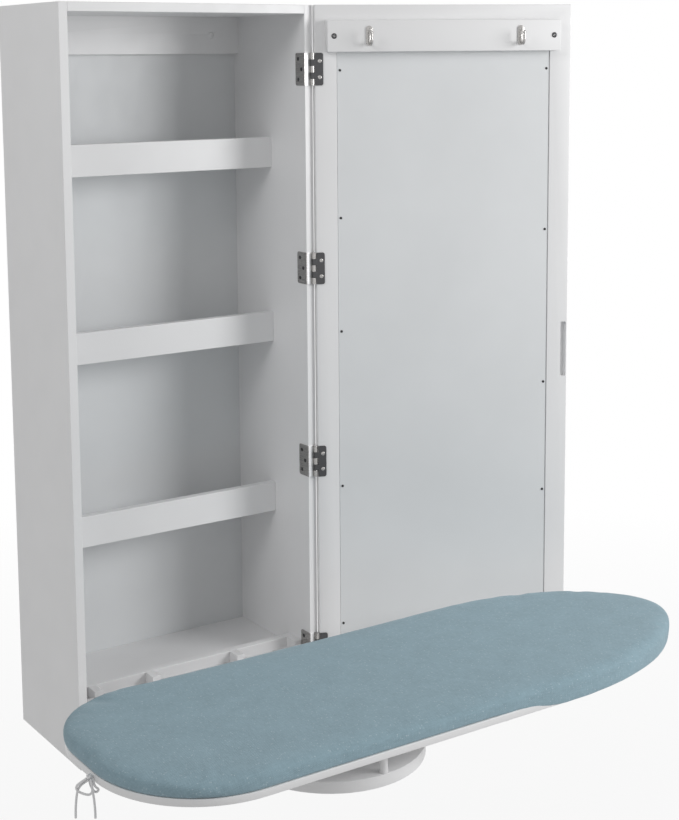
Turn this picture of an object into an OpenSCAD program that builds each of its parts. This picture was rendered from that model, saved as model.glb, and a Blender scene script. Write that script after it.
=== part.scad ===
// Mirrored wall cabinet that holds an ironing board.
// The board swivels on a turntable, folds up into the case and is hidden by a mirror door.
// X runs to the right, Y runs into the wall and Z runs up. The origin lies on the wall,
// midway between the two wall screws. Heights in the modules are counted from the underside
// of the case, and on_wall() moves them to the origin.

/* [Case] */
// Outside width of the case
case_w = 370; // [350:1:420]
// Outside height of the case
case_h = 990; // [960:1:1080]
// Depth of the case from the wall to its front edges
case_d = 192; // [186:1:220]
// Thickness of the case boards and shelves
board_t = 12; // [10:0.5:14]
// Thickness of the hardboard back
back_t = 3; // [2:0.5:5]
// Height of the rail that takes the wall screws
mount_rail_h = 52; // [44:1:80]
// Distance between the two wall screws
wall_screw_span = 256; // [200:1:300]
// Radius of a wall screw hole
wall_hole_r = 2.5; // [2:0.1:4]
// Height of the wall screws below the top of the case
wall_screw_drop = 38; // [30:1:52]

/* [Shelves] */
// Heights of the undersides of the three shelves
shelf_heights = [266.5, 516.9, 766.4];
// Height of the lip along the front of a shelf
shelf_lip_h = 42.5; // [20:0.5:60]
// Gap between the shelf lips and the folded board
stow_gap = 4; // [2:0.5:12]

/* [Tray] */
// Height of the tray floor above the underside of the case
deck_h = 75.5; // [70:0.5:110]
// Height of the tray walls above the tray floor
tray_wall_h = 16; // [10:0.5:20]
// Depth of the tray compartments from front to back
tray_inner_d = 21; // [16:0.5:22]
// Distance of the tray's left end wall from the left side of the case
tray_end_inset = 21; // [14:1:40]
// Width of the tray's left compartment
left_bay_w = 74; // [60:1:90]
// Width of the tray's right compartment
right_bay_w = 83; // [60:1:90]
// Depth of the front board's top edge below the tray walls
apron_drop = 7.5; // [6:0.5:10]
// Distance of the front board behind the front edges of the case
apron_setback = 11; // [11:0.5:14]

/* [Board fold hinges] */
// Outside radius of the fold hinge knuckles
fold_knuckle_r = 2.2; // [2:0.1:2.3]
// Radius of the fold hinge pins
fold_pin_r = 1.2; // [1:0.1:1.3]
// Thickness of the fold hinge leaves
fold_leaf_t = 2; // [1.5:0.1:2.4]
// Length of each fold hinge along the case
fold_hinge_len = 38; // [30:1:44]
// Distance of the middle of each fold hinge from the middle of the case
fold_hinge_x = 144; // [136:1:146]

/* [Board support] */
// Distance from the fold axis to the swivel axis
swivel_reach = 310; // [300:1:330]
// Thickness of the two support arms
arm_t = 6; // [4:0.5:7]
// Width of each support arm
arm_w = 30; // [20:1:36]
// Distance of the inner edges of the arms from the middle
arm_inner_x = 108; // [80:1:112]
// Radius of the head plate under the turntable
head_plate_r = 88; // [70:1:96]
// Thickness of the head plate
head_plate_t = 4; // [3:0.5:5]
// Outside radius of the bearing ring
bearing_outer_r = 80; // [60:1:86]
// Inside radius of the bearing ring
bearing_inner_r = 58; // [30:1:66]
// Thickness of the bearing ring
bearing_t = 1.7; // [1:0.1:1.8]
// Radius of the swivel bolt
swivel_bolt_r = 5; // [4:0.5:6]

/* [Stay] */
// Radius of the stay rod
stay_rod_r = 3; // [2.5:0.1:3]
// Distance of each stay leg from the middle
stay_leg_x = 50; // [36:1:60]
// Distance of the stay's upper pivot in front of the fold axis
stay_pivot_reach = 238; // [226:1:242]
// Height of the stay's foot rod above the underside of the case
stay_foot_h = 34.3; // [33:0.1:44]
// Length of the ledge that holds the stay's foot
ledge_len = 150; // [130:1:200]

/* [Turntable] */
// Radius of the turntable disc
disc_r = 113; // [100:1:120]
// Thickness of the turntable disc
disc_t = 14.5; // [12:0.5:18]
// Length of the pegs between the disc and the board
peg_len = 34.5; // [30:0.5:40]
// Radius of the pegs
peg_r = 5; // [4:0.5:7]
// Distance of the pegs' outer sides from the rim of the disc
peg_inset = 0.5; // [0:0.5:6]

/* [Ironing board] */
// Length of the board from the swivel axis to its square end
tail_len = 313; // [290:1:316]
// Length of the board from the swivel axis to its nose
nose_len = 525; // [490:1:540]
// Distance of the board's long edge on the side of the room from the swivel axis
near_half_w = 144; // [138:1:150]
// Distance of the board's long edge on the side of the wall from the swivel axis
far_half_w = 148; // [140:1:152]
// Corner radius of the square end on the side away from the wall
tail_near_r = 138; // [100:1:140]
// Corner radius of the square end on the side of the wall
tail_far_r = 103; // [60:1:120]
// Length over which the nose draws in on the side of the room
near_taper = 275; // [200:1:290]
// Length over which the nose draws in on the side of the wall
far_taper = 250; // [200:1:290]
// Thickness of the wooden board
core_t = 9; // [8:0.5:14]
// Thickness of the foam pad
foam_t = 12; // [8:0.5:13]
// Height of the padded cover above the wooden board at its edge
cover_t = 17.5; // [15.5:0.5:19]
// Extra height of the cover in the middle
cover_crown = 1.5; // [0:0.5:3]
// Distance of the wooden board's edge inside the cover's edge
core_inset = 1.5; // [0:0.5:4]

/* [Door] */
// Thickness of the door frame
door_t = 18; // [16:0.5:22]
// Angle at which the door stands open
door_open = 157.6; // [150:0.1:164]
// Gap between the front edges of the case and the closed door
door_gap = 2.5; // [2.5:0.1:4]
// Width of the frame seen beside the door's back panel
door_border = 30; // [24:1:40]
// Extra width of the frame seen around the mirror
door_rebate = 14; // [12:1:20]
// Thickness of the mirror glass
mirror_t = 3.2; // [2:0.1:4]
// Thickness of the hardboard behind the mirror
door_panel_t = 3; // [2:0.1:4]
// Depth of the door's back panel below the frame
door_panel_sink = 1.2; // [0.5:0.1:2]
// Distance of the door hinges from the ends of the door
hinge_inset = 86.3; // [60:0.1:110]
// Height of each door hinge
hinge_h = 44; // [36:0.5:60]

/* [Coat rail] */
// Height of the coat rail
coat_rail_h = 42.5; // [34:0.5:60]
// Thickness of the coat rail
coat_rail_t = 15; // [10:0.5:15]
// Length of the coat rail
coat_rail_len = 330; // [300:1:334]
// Distance of the coat rail below the top of the door
coat_rail_drop = 21; // [12:0.5:40]
// Distance of the two coat hooks from the ends of the rail
coat_hook_inset = 58; // [40:1:90]

/* [Hidden] */

$fn = 48;
eps = 0.01;
running_gap = 0.3;
pin_clearance = 0.05;
white = [0.86, 0.86, 0.86];
hardboard_white = [0.76, 0.77, 0.78];
steel = [0.55, 0.56, 0.57];
nickel = [0.72, 0.70, 0.66];
cover_blue = [0.50, 0.61, 0.65];
cord_grey = [0.62, 0.62, 0.62];

// Case
origin_h = case_h - wall_screw_drop;
side_inner_x = case_w / 2 - board_t;
mount_rail_z = case_h - board_t - mount_rail_h;
apron_front_y = -case_d + apron_setback;
apron_back_y = apron_front_y + board_t;
tray_rail_front_y = apron_back_y + tray_inner_d;
tray_rail_back_y = tray_rail_front_y + board_t;
tray_rim_h = deck_h + tray_wall_h;
apron_top_h = tray_rim_h - apron_drop;

// Fold axis, in front of the top edge of the front board and a little above it
knuckle_overhang = 11;
fold_rise = 8;
fold_y = apron_front_y - knuckle_overhang;
fold_z = apron_top_h + fold_rise;
fold_leaf_clear = 0.4;
fold_flange_h = 22;
fold_strap_half = 0.85;
fold_screw_r = 1.5;
fold_screw_head_r = 2.8;
fold_screw_len = 11;
fold_screw_spread = 10;
fold_screw_drop = 13;
fold_mid_half = fold_hinge_len / 6;

// Turntable stack, counted up from the support arms
bearing_space = 2;
swivel_y = fold_y - swivel_reach;
arm_bottom_z = fold_z;
arm_top_z = arm_bottom_z + arm_t;
disc_z = arm_top_z + bearing_space;
disc_top_z = disc_z + disc_t;
core_z = disc_top_z + peg_len;
pad_z = core_z + core_t;
cover_top_z = pad_z + cover_t + cover_crown;
stack_h = cover_top_z - fold_z;
peg_circle_r = disc_r - peg_inset - peg_r;

// Shelves end where the folded board needs its room
lip_front_y = fold_y + stack_h + stow_gap;
lip_back_y = lip_front_y + board_t;

// Support frame
arm_outer_x = arm_inner_x + arm_w;
arm_end_y = fold_y - fold_knuckle_r - fold_leaf_clear - running_gap;
arm_foot_d = 24;
cross_bar_w = 30;
cross_bar_back_y = fold_y - stay_pivot_reach - 10;
lug_x = stay_leg_x + 10;
lug_w = 4;
lug_r = stay_rod_r + 1.6;
stay_z = arm_bottom_z + 2.5;
bolt_head_r = 8.5;
bolt_head_t = 3.6;
bolt_tail = 2.5;
nut_r = 9.2;
nut_h = 8;
washer_r = 10;
washer_t = 2;

// Stay
stay_y = fold_y - stay_pivot_reach;
foot_gap = 1;
foot_y = apron_front_y - foot_gap - stay_rod_r - 0.5;
stay_overhang = 2.5;
stay_leg_r = stay_rod_r - 0.3;
ledge_t = 2;
ledge_top_h = stay_foot_h - stay_rod_r - running_gap;
ledge_flange_h = 16.5;
ledge_lip_h = 1.2;
ledge_lip_t = 1.5;
ledge_reach = apron_front_y - foot_y + stay_rod_r + 2.5;
ledge_screw_inset = 20;
ledge_screw_x = ledge_len / 2 - ledge_screw_inset;
ledge_screw_drop = 11;
ledge_screw_r = 1.5;
ledge_screw_head_r = 3;
ledge_screw_head_t = 1.8;
ledge_screw_len = 12;

// Turntable fasteners
peg_screw_r = 2;
peg_screw_head_r = 4;
peg_screw_head_t = 2.4;
peg_screw_bite = 8;

// Foam inside the cover
foam_inset = 6;
foam_gap = 0.2;

// The cover's cross-section, as distance inside the outline and height above the wooden board
cover_profile = [
    [3.5, 0], [1.2, 2], [0.1, cover_t * 0.28], [0, cover_t * 0.57], [1, cover_t * 0.77],
    [3, cover_t * 0.91], [7, cover_t], [14, cover_t + cover_crown * 0.45],
    [45, cover_t + cover_crown * 0.85], [80, cover_t + cover_crown]
];

// Edge bracket under the board
bracket_x = 172;
bracket_w = 16;
bracket_t = 2;
bracket_drop = 16.5;
bracket_foot = 22;
bracket_toe = 4;
bracket_inset = 30;

// Door, drawn closed and then swung open about the hinge axis
hinge_leaf_t = 1.2;
hinge_barrel_r = 3;
hinge_pin_r = 1.5;
hinge_knuckles = 5;
knuckle_h = hinge_h / hinge_knuckles;
hinge_x = case_w / 2 - 2.8;
hinge_y = -case_d - hinge_leaf_t - hinge_barrel_r;
door_inner_y = -case_d - door_gap;
door_outer_y = door_inner_y - door_t;
door_free_x = -case_w / 2;
door_hinge_x = hinge_x - hinge_barrel_r - 0.7;
door_mid_x = (door_free_x + door_hinge_x) / 2;
door_w = door_hinge_x - door_free_x;
door_face_w = door_border + door_rebate;
panel_y = door_inner_y - door_panel_sink;
panel_step = 8;
mirror_y = panel_y - door_panel_t;
mirror_edge = door_border + panel_step;
hinge_count = 4;
hinge_pitch = (case_h - 2 * hinge_inset) / (hinge_count - 1);
hinge_leaf_reach = 22;
hinge_screw_near = 7;
hinge_screw_far = 15;
door_leaf_w = 11;
hinge_corner_r = 3;
hinge_screw_r = 1.2;
hinge_screw_head_r = 2.6;
hinge_screw_head_t = 0.7;
hinge_screw_len = 9;
hinge_notch_gap = 1.2;

// Finger pull in the back of the door, near its free edge
pull_z = 503;
pull_h = 79;
pull_w = 8;
pull_depth = 6;
pull_edge = 1.6;

// Coat rail
coat_rail_mid_x = -0.5;
coat_rail_z = case_h - coat_rail_drop - coat_rail_h;
coat_rail_y = door_inner_y + coat_rail_t;
coat_screw_inset = 9.5;
coat_screw_r = 2;
coat_screw_head_r = 3.8;
coat_screw_head_t = 1.8;
coat_screw_bite = 10;
hook_plate_w = 9;
hook_plate_h = 27;
hook_plate_t = 1.5;
hook_wire_r = 1.7;
hook_throat = 14;
hook_tip_rise = 9;
coat_hook_x = coat_rail_len / 2 - coat_hook_inset;

// Small screws around the door's back panel, counted down from the top of the door
panel_screw_drops_hinge = [for (share = [0.089, 0.293, 0.453, 0.676, 0.879]) share * case_h];
panel_screw_drops_free = [for (share = [0.089, 0.317, 0.539, 0.699, 0.899]) share * case_h];
panel_screw_edge = 4.5;
panel_screw_r = 1.1;
panel_screw_head_r = 1.8;
panel_screw_head_t = 0.8;
panel_screw_len = 7;

// Drawstring tied in a bow: routes chosen by hand, as x and y from the swivel axis and z from
// the underside of the wooden board
cord_r = 1.3;
cord_sides = 8;
knot_at = [-316, -7, 7];
knot_r = 3.8;
left_loop_route = [
    [-318.6, -5.2, 4.8], [-321, -3.5, 2.5], [-324.5, -1, -0.5], [-327, 1, -3.5],
    [-327.8, 1.5, -6.6], [-326.3, 0.5, -9.8], [-322.6, -1.9, -12.4], [-317.6, -5.3, -14],
    [-314.6, -7.5, -12.3], [-313.6, -8.3, -8], [-314.2, -8.2, -1.5], [-315.5, -8.3, 3.3]
];
right_loop_route = [
    [-313.4, -9.2, 5], [-313, -10.6, 0.5], [-311, -11.3, -4.5], [-307.8, -11.3, -8],
    [-308.3, -8.5, -11.8], [-309.5, -4.5, -12.8], [-311, -1, -9.5], [-312.5, -0.2, -4.5],
    [-313.8, -2, 0.5], [-314.3, -4.3, 4.2]
];
left_tail_route = [
    [-316.6, -6.4, 3], [-319, -2.2, -0.5], [-322.5, 1.8, -5], [-325, 4, -10.5],
    [-326.2, 4.6, -16.5], [-327, 5, -24], [-327.6, 5.3, -32], [-327.8, 5.4, -42]
];
right_tail_route = [
    [-316.5, -10.6, 5.5], [-315.6, -11.6, -0.5], [-314.8, -11.6, -8], [-313.8, -11.9, -16],
    [-313.2, -12.2, -24], [-312.8, -12.4, -32], [-312.8, -12.4, -39]
];

function fold_hinge_side(s) = s * fold_hinge_x;
function hinge_z(i) = hinge_inset + i * hinge_pitch;

// Outline of the padded board, drawn in by d, round the swivel axis
function arc_points(cx, cy, rx, ry, a0, a1, n) =
    [for (i = [0:n]) [cx + rx * cos(a0 + (a1 - a0) * i / n), cy + ry * sin(a0 + (a1 - a0) * i / n)]];

function board_outline(d) = concat(
    arc_points(nose_len - near_taper, 0, near_taper - d, near_half_w - d, -90, -7.5, 11),
    arc_points(nose_len - far_taper, 0, far_taper - d, far_half_w - d, 0, 90, 12),
    arc_points(-tail_len + tail_far_r, far_half_w - tail_far_r, tail_far_r - d,
               tail_far_r - d, 90, 180, 9),
    arc_points(-tail_len + tail_near_r, tail_near_r - near_half_w, tail_near_r - d,
               tail_near_r - d, 180, 270, 9)
);

module on_wall() {
    translate([0, 0, -origin_h]) children();
}

module on_door() {
    on_wall() translate([hinge_x, hinge_y, 0]) rotate([0, 0, door_open])
        translate([-hinge_x, -hinge_y, 0]) children();
}

module on_swivel() {
    on_wall() translate([0, swivel_y, 0]) children();
}

module block(x, y, z) {
    translate([x[0], y[0], z[0]]) cube([x[1] - x[0], y[1] - y[0], z[1] - z[0]]);
}

module rod_x(x, y, z, r) {
    translate([x[0], y, z]) rotate([0, 90, 0]) cylinder(h = x[1] - x[0], r = r);
}

module rod_y(x, y, z, r) {
    translate([x, y[0], z]) rotate([-90, 0, 0]) cylinder(h = y[1] - y[0], r = r);
}

module rod_between(a, b, r) {
    d = b - a;
    length = norm(d);
    translate(a) rotate([0, acos(d[2] / length), atan2(d[1], d[0])]) cylinder(h = length, r = r);
}

// Case boards
module side(s) {
    on_wall() mirror([s < 0 ? 1 : 0, 0, 0])
        block([side_inner_x, case_w / 2], [-case_d, 0], [0, case_h]);
}

module left_side() {
    color(white) side(-1);
}

module right_side() {
    color(white) difference() {
        side(1);
        on_wall() case_leaf_screw(hinge_screw_r, [-1, hinge_screw_len]);
    }
}

module case_panel(z) {
    color(white) on_wall() block([-side_inner_x, side_inner_x], [-case_d, 0], [z, z + board_t]);
}

module top_panel() {
    case_panel(case_h - board_t);
}

module bottom_panel() {
    case_panel(0);
}

module wall_holes() {
    for (s = [-1, 1])
        rod_y(s * wall_screw_span / 2, [-board_t - back_t - 1, 1], origin_h, wall_hole_r);
}

module back_panel() {
    color(hardboard_white) on_wall() difference() {
        block([-side_inner_x, side_inner_x], [-back_t, 0], [board_t, case_h - board_t]);
        wall_holes();
    }
}

module rear_rail(z) {
    block([-side_inner_x, side_inner_x], [-back_t - board_t, -back_t], z);
}

module mounting_rail() {
    color(white) on_wall() difference() {
        rear_rail([mount_rail_z, case_h - board_t]);
        wall_holes();
    }
}

module lower_rear_rail() {
    color(white) on_wall() rear_rail([board_t, deck_h - board_t]);
}

// Shelves
module shelf(i) {
    color(white) on_wall()
        block([-side_inner_x, side_inner_x], [lip_back_y, -back_t],
              [shelf_heights[i], shelf_heights[i] + board_t]);
}

module shelf_lip(i) {
    color(white) on_wall()
        block([-side_inner_x, side_inner_x], [lip_front_y, lip_back_y],
              [shelf_heights[i], shelf_heights[i] + shelf_lip_h]);
}

module upper_shelf() {
    shelf(2);
}

module middle_shelf() {
    shelf(1);
}

module lower_shelf() {
    shelf(0);
}

module upper_shelf_lip() {
    shelf_lip(2);
}

module middle_shelf_lip() {
    shelf_lip(1);
}

module lower_shelf_lip() {
    shelf_lip(0);
}

// Tray at the foot of the case
module tray_deck() {
    color(white) on_wall()
        block([-side_inner_x, side_inner_x], [apron_back_y, -back_t], [deck_h - board_t, deck_h]);
}

module tray_front_board() {
    color(white) on_wall() difference() {
        block([-side_inner_x, side_inner_x], [apron_front_y, apron_back_y], [board_t, apron_top_h]);
        fold_screw_shanks();
        ledge_screw_shanks();
        lowest_hinge_notch();
    }
}

// Notch in the end of the front board for the lowest door hinge
module lowest_hinge_notch() {
    block([side_inner_x - hinge_leaf_t - hinge_notch_gap, side_inner_x + 1],
          [apron_front_y - 1, apron_back_y + 1],
          [hinge_z(0) - hinge_h / 2 - hinge_notch_gap, hinge_z(0) + hinge_h / 2 + hinge_notch_gap]);
}

module tray_rear_rail() {
    color(white) on_wall()
        block([-side_inner_x, side_inner_x], [tray_rail_front_y, tray_rail_back_y],
              [deck_h, tray_rim_h]);
}

module tray_wall(x) {
    color(white) on_wall()
        block([x - board_t / 2, x + board_t / 2], [apron_back_y, tray_rail_front_y],
              [deck_h, tray_rim_h]);
}

module tray_left_end() {
    tray_wall(-side_inner_x + tray_end_inset + board_t / 2);
}

module tray_right_end() {
    tray_wall(side_inner_x - board_t / 2);
}

module tray_left_divider() {
    tray_wall(-side_inner_x + tray_end_inset + left_bay_w + board_t * 1.5);
}

module tray_right_divider() {
    tray_wall(side_inner_x - right_bay_w - board_t * 1.5);
}

// Ledge that the stay's foot stands on
module ledge_screw_shanks() {
    for (s = [-1, 1])
        rod_y(s * ledge_screw_x, [apron_front_y - ledge_t, apron_front_y - ledge_t + ledge_screw_len],
              ledge_top_h - ledge_screw_drop, ledge_screw_r);
}

module stay_ledge() {
    color(steel) on_wall() difference() {
        translate([-ledge_len / 2, 0, 0]) rotate([90, 0, 90]) linear_extrude(ledge_len) polygon([
            [apron_front_y, ledge_top_h - ledge_flange_h],
            [apron_front_y, ledge_top_h],
            [apron_front_y - ledge_reach, ledge_top_h],
            [apron_front_y - ledge_reach, ledge_top_h + ledge_lip_h],
            [apron_front_y - ledge_reach - ledge_lip_t, ledge_top_h + ledge_lip_h],
            [apron_front_y - ledge_reach - ledge_lip_t, ledge_top_h - ledge_t],
            [apron_front_y - ledge_t, ledge_top_h - ledge_t],
            [apron_front_y - ledge_t, ledge_top_h - ledge_flange_h]
        ]);
        ledge_screw_shanks();
    }
}

module ledge_screws() {
    color(nickel) on_wall() {
        ledge_screw_shanks();
        for (s = [-1, 1])
            rod_y(s * ledge_screw_x, [apron_front_y - ledge_t - ledge_screw_head_t, apron_front_y - ledge_t],
                  ledge_top_h - ledge_screw_drop, ledge_screw_head_r);
    }
}

// Fold hinges. The fixed leaf has the two outer knuckles, the moving leaf has the middle one.
module fold_knuckles(s, moving) {
    x0 = fold_hinge_side(s);
    if (moving)
        rod_x([x0 - fold_mid_half + running_gap, x0 + fold_mid_half - running_gap], fold_y, fold_z,
              fold_knuckle_r);
    else for (e = [-1, 1])
        rod_x([x0 + (e < 0 ? -fold_hinge_len / 2 : fold_mid_half),
               x0 + (e < 0 ? -fold_mid_half : fold_hinge_len / 2)], fold_y, fold_z, fold_knuckle_r);
}

module fold_bore(s, r) {
    x0 = fold_hinge_side(s);
    rod_x([x0 - fold_hinge_len, x0 + fold_hinge_len], fold_y, fold_z, r);
}

module fold_screw_shanks() {
    for (s = [-1, 1]) for (e = [-1, 1])
        rod_y(fold_hinge_side(s) + e * fold_screw_spread,
              [apron_front_y - fold_leaf_t, apron_front_y - fold_leaf_t + fold_screw_len],
              apron_top_h - fold_screw_drop, fold_screw_r);
}

module fold_screw_heads() {
    for (s = [-1, 1]) for (e = [-1, 1])
        translate([fold_hinge_side(s) + e * fold_screw_spread, apron_front_y - fold_leaf_t,
                   apron_top_h - fold_screw_drop])
            rotate([-90, 0, 0])
                cylinder(h = fold_leaf_t - 0.4, r1 = fold_screw_head_r, r2 = fold_screw_r);
}

// Slanting strap that carries an outer knuckle in front of the board
module fold_strap(x) {
    w = fold_strap_half;
    translate([x, 0, 0]) rotate([90, 0, 90]) linear_extrude(fold_hinge_len / 2 - fold_mid_half)
        polygon([
            [fold_y - w, fold_z - w], [fold_y + w, fold_z + w],
            [apron_front_y - 1.2, apron_top_h - 0.1], [apron_front_y - 1.2, apron_top_h - 4.6]
        ]);
}

module fold_hinge_fixed_leaves() {
    color(nickel) on_wall() for (s = [-1, 1]) difference() {
        union() {
            fold_knuckles(s, false);
            block([fold_hinge_side(s) - fold_hinge_len / 2, fold_hinge_side(s) + fold_hinge_len / 2],
                  [apron_front_y - fold_leaf_t, apron_front_y],
                  [apron_top_h - fold_flange_h, apron_top_h]);
            for (e = [-1, 1])
                fold_strap(fold_hinge_side(s) + (e < 0 ? -fold_hinge_len / 2 : fold_mid_half));
        }
        fold_bore(s, fold_pin_r);
        fold_screw_shanks();
        fold_screw_heads();
    }
}

module fold_hinge_moving_leaves() {
    color(nickel) on_wall() for (s = [-1, 1]) difference() {
        union() {
            fold_knuckles(s, true);
            block([fold_hinge_side(s) - fold_mid_half + running_gap,
                   fold_hinge_side(s) + fold_mid_half - running_gap],
                  [arm_end_y, fold_y], [fold_z - fold_leaf_t, fold_z]);
            block([fold_hinge_side(s) - fold_hinge_len / 2, fold_hinge_side(s) + fold_mid_half],
                  [arm_end_y - arm_foot_d + 4, arm_end_y], [fold_z - fold_leaf_t, fold_z]);
        }
        fold_bore(s, fold_pin_r + pin_clearance);
    }
}

module fold_hinge_pins() {
    color(steel) on_wall() for (s = [-1, 1])
        rod_x([fold_hinge_side(s) - fold_hinge_len / 2, fold_hinge_side(s) + fold_hinge_len / 2],
              fold_y, fold_z, fold_pin_r);
}

module fold_hinge_screws() {
    color(nickel) on_wall() {
        fold_screw_shanks();
        fold_screw_heads();
    }
}

// Steel frame that folds up with the board
module support_frame() {
    color(steel) on_wall() difference() {
        union() {
            for (s = [-1, 1]) mirror([s < 0 ? 1 : 0, 0, 0]) {
                block([arm_inner_x, arm_outer_x], [cross_bar_back_y, arm_end_y],
                      [arm_bottom_z, arm_top_z]);
                block([arm_inner_x, fold_hinge_x + fold_mid_half], [arm_end_y - arm_foot_d, arm_end_y],
                      [arm_bottom_z, arm_top_z]);
                stay_lug();
            }
            block([-arm_outer_x, arm_outer_x], [cross_bar_back_y - cross_bar_w, cross_bar_back_y],
                  [arm_bottom_z, arm_top_z]);
            translate([0, swivel_y, arm_top_z - head_plate_t])
                cylinder(h = head_plate_t, r = head_plate_r);
        }
        rod_x([-case_w / 2, case_w / 2], stay_y, stay_z, stay_rod_r + pin_clearance);
        translate([0, swivel_y, arm_bottom_z - 1]) cylinder(h = arm_t + 2, r = swivel_bolt_r);
        translate([0, swivel_y, arm_bottom_z - 1])
            cylinder(h = arm_t + 1 - head_plate_t, r = bolt_head_r + 1);
    }
}

module stay_lug() {
    rod_x([lug_x, lug_x + lug_w], stay_y, stay_z, lug_r);
    block([lug_x, lug_x + lug_w], [cross_bar_back_y - eps, stay_y], [stay_z - lug_r, stay_z + lug_r]);
}

module bearing_ring() {
    color(nickel) on_swivel() difference() {
        translate([0, 0, arm_top_z]) cylinder(h = bearing_t, r = bearing_outer_r);
        translate([0, 0, arm_top_z - 1]) cylinder(h = bearing_t + 2, r = bearing_inner_r);
    }
}

module swivel_bolt() {
    plate_z = arm_top_z - head_plate_t;
    color(steel) on_swivel() {
        translate([0, 0, plate_z - bolt_head_t]) cylinder(h = bolt_head_t, r = bolt_head_r, $fn = 6);
        translate([0, 0, plate_z])
            cylinder(h = disc_top_z + running_gap + washer_t + nut_h + bolt_tail - plate_z,
                     r = swivel_bolt_r);
    }
}

module swivel_washer() {
    color(nickel) on_swivel() difference() {
        translate([0, 0, disc_top_z + running_gap]) cylinder(h = washer_t, r = washer_r);
        translate([0, 0, disc_top_z]) cylinder(h = washer_t + 2, r = swivel_bolt_r);
    }
}

module swivel_nut() {
    color(steel) on_swivel() difference() {
        translate([0, 0, disc_top_z + running_gap + washer_t]) cylinder(h = nut_h, r = nut_r, $fn = 6);
        translate([0, 0, disc_top_z]) cylinder(h = nut_h + washer_t + 2, r = swivel_bolt_r);
    }
}

// Folding stay welded from steel rod, standing on the ledge
module stay_rod() {
    color(steel) on_wall() {
        rod_x([-lug_x - lug_w - stay_overhang, lug_x + lug_w + stay_overhang], stay_y, stay_z, stay_rod_r);
        rod_x([-stay_leg_x - stay_overhang - stay_rod_r, stay_leg_x + stay_overhang + stay_rod_r],
              foot_y, stay_foot_h, stay_rod_r);
        for (s = [-1, 1])
            rod_between([s * stay_leg_x, stay_y, stay_z], [s * stay_leg_x, foot_y, stay_foot_h],
                        stay_leg_r);
    }
}

// Turntable
module peg_places() {
    for (i = [0:3]) rotate([0, 0, 90 * i]) translate([peg_circle_r, 0, 0]) children();
}

module peg_screw_shank() {
    translate([0, 0, disc_z]) cylinder(h = disc_t + peg_len + peg_screw_bite, r = peg_screw_r);
}

module peg_screw_head() {
    translate([0, 0, disc_z]) cylinder(h = peg_screw_head_t, r1 = peg_screw_head_r, r2 = peg_screw_r);
}

module turntable_disc() {
    color(white) on_swivel() difference() {
        translate([0, 0, disc_z]) cylinder(h = disc_t, r = disc_r, $fn = 128);
        translate([0, 0, disc_z - 1]) cylinder(h = disc_t + 2, r = swivel_bolt_r + pin_clearance);
        peg_places() {
            peg_screw_shank();
            peg_screw_head();
        }
    }
}

module spacer_pegs() {
    color(white) on_swivel() peg_places() difference() {
        translate([0, 0, disc_top_z]) cylinder(h = peg_len, r = peg_r);
        peg_screw_shank();
    }
}

module peg_screws() {
    color(steel) on_swivel() peg_places() {
        peg_screw_shank();
        peg_screw_head();
    }
}

// Ironing board
module ironing_board() {
    color(white) on_swivel() difference() {
        translate([0, 0, core_z]) linear_extrude(core_t) polygon(board_outline(core_inset));
        peg_places() peg_screw_shank();
    }
}

module foam_pad() {
    color("ivory") on_swivel()
        translate([0, 0, pad_z]) linear_extrude(foam_t) polygon(board_outline(foam_inset));
}

module crowned_pad() {
    rings = [for (p = cover_profile) [for (q = board_outline(p[0])) [q[0], q[1], pad_z + p[1]]]];
    n = len(rings[0]);
    points = [for (ring = rings) for (p = ring) p];
    walls = [
        for (k = [0:len(rings) - 2]) for (i = [0:n - 1])
            for (f = [[k * n + i, (k + 1) * n + i, (k + 1) * n + (i + 1) % n],
                      [k * n + i, (k + 1) * n + (i + 1) % n, k * n + (i + 1) % n]]) f
    ];
    lid = [for (i = [n - 1:-1:0]) (len(rings) - 1) * n + i];
    base = [for (i = [0:n - 1]) i];
    polyhedron(points = points, faces = concat(walls, [lid, base]), convexity = 4);
}

module board_cover() {
    color(cover_blue) on_swivel() difference() {
        crowned_pad();
        translate([0, 0, pad_z - 1]) linear_extrude(foam_t + foam_gap + 1)
            polygon(board_outline(foam_inset - foam_gap));
    }
}

// Bent steel bracket under the edge of the board
module edge_bracket() {
    back_y = -near_half_w + bracket_inset;
    color(steel) on_swivel() translate([bracket_x, back_y, core_z]) intersection() {
        translate([-bracket_w / 2, 0, 0]) rotate([90, 0, 90]) linear_extrude(bracket_w) polygon([
            [0, 0], [0, -bracket_drop], [bracket_t, -bracket_drop], [bracket_t, -bracket_t],
            [bracket_foot, -bracket_t], [bracket_foot, 0]
        ]);
        translate([0, bracket_foot + 1, 0]) rotate([90, 0, 0]) linear_extrude(bracket_foot + 2)
            polygon([
                [-bracket_w / 2, 0], [-bracket_w / 2, -bracket_t - 1],
                [bracket_w / 2 - bracket_toe, -bracket_drop], [bracket_w / 2, -bracket_drop],
                [bracket_w / 2, 0]
            ]);
    }
}

// Drawstring that closes the cover round the board
function tube_dir(p, i) =
    let (a = p[max(i - 1, 0)], b = p[min(i + 1, len(p) - 1)]) (b - a) / norm(b - a);

function tube_ring(c, d, r) =
    let (u = cross(d, [0.83, -0.55, 0.1]), ex = u / norm(u), ey = cross(d, ex))
    [for (k = [0:cord_sides - 1])
        c + r * cos(360 * k / cord_sides) * ex + r * sin(360 * k / cord_sides) * ey];

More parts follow.
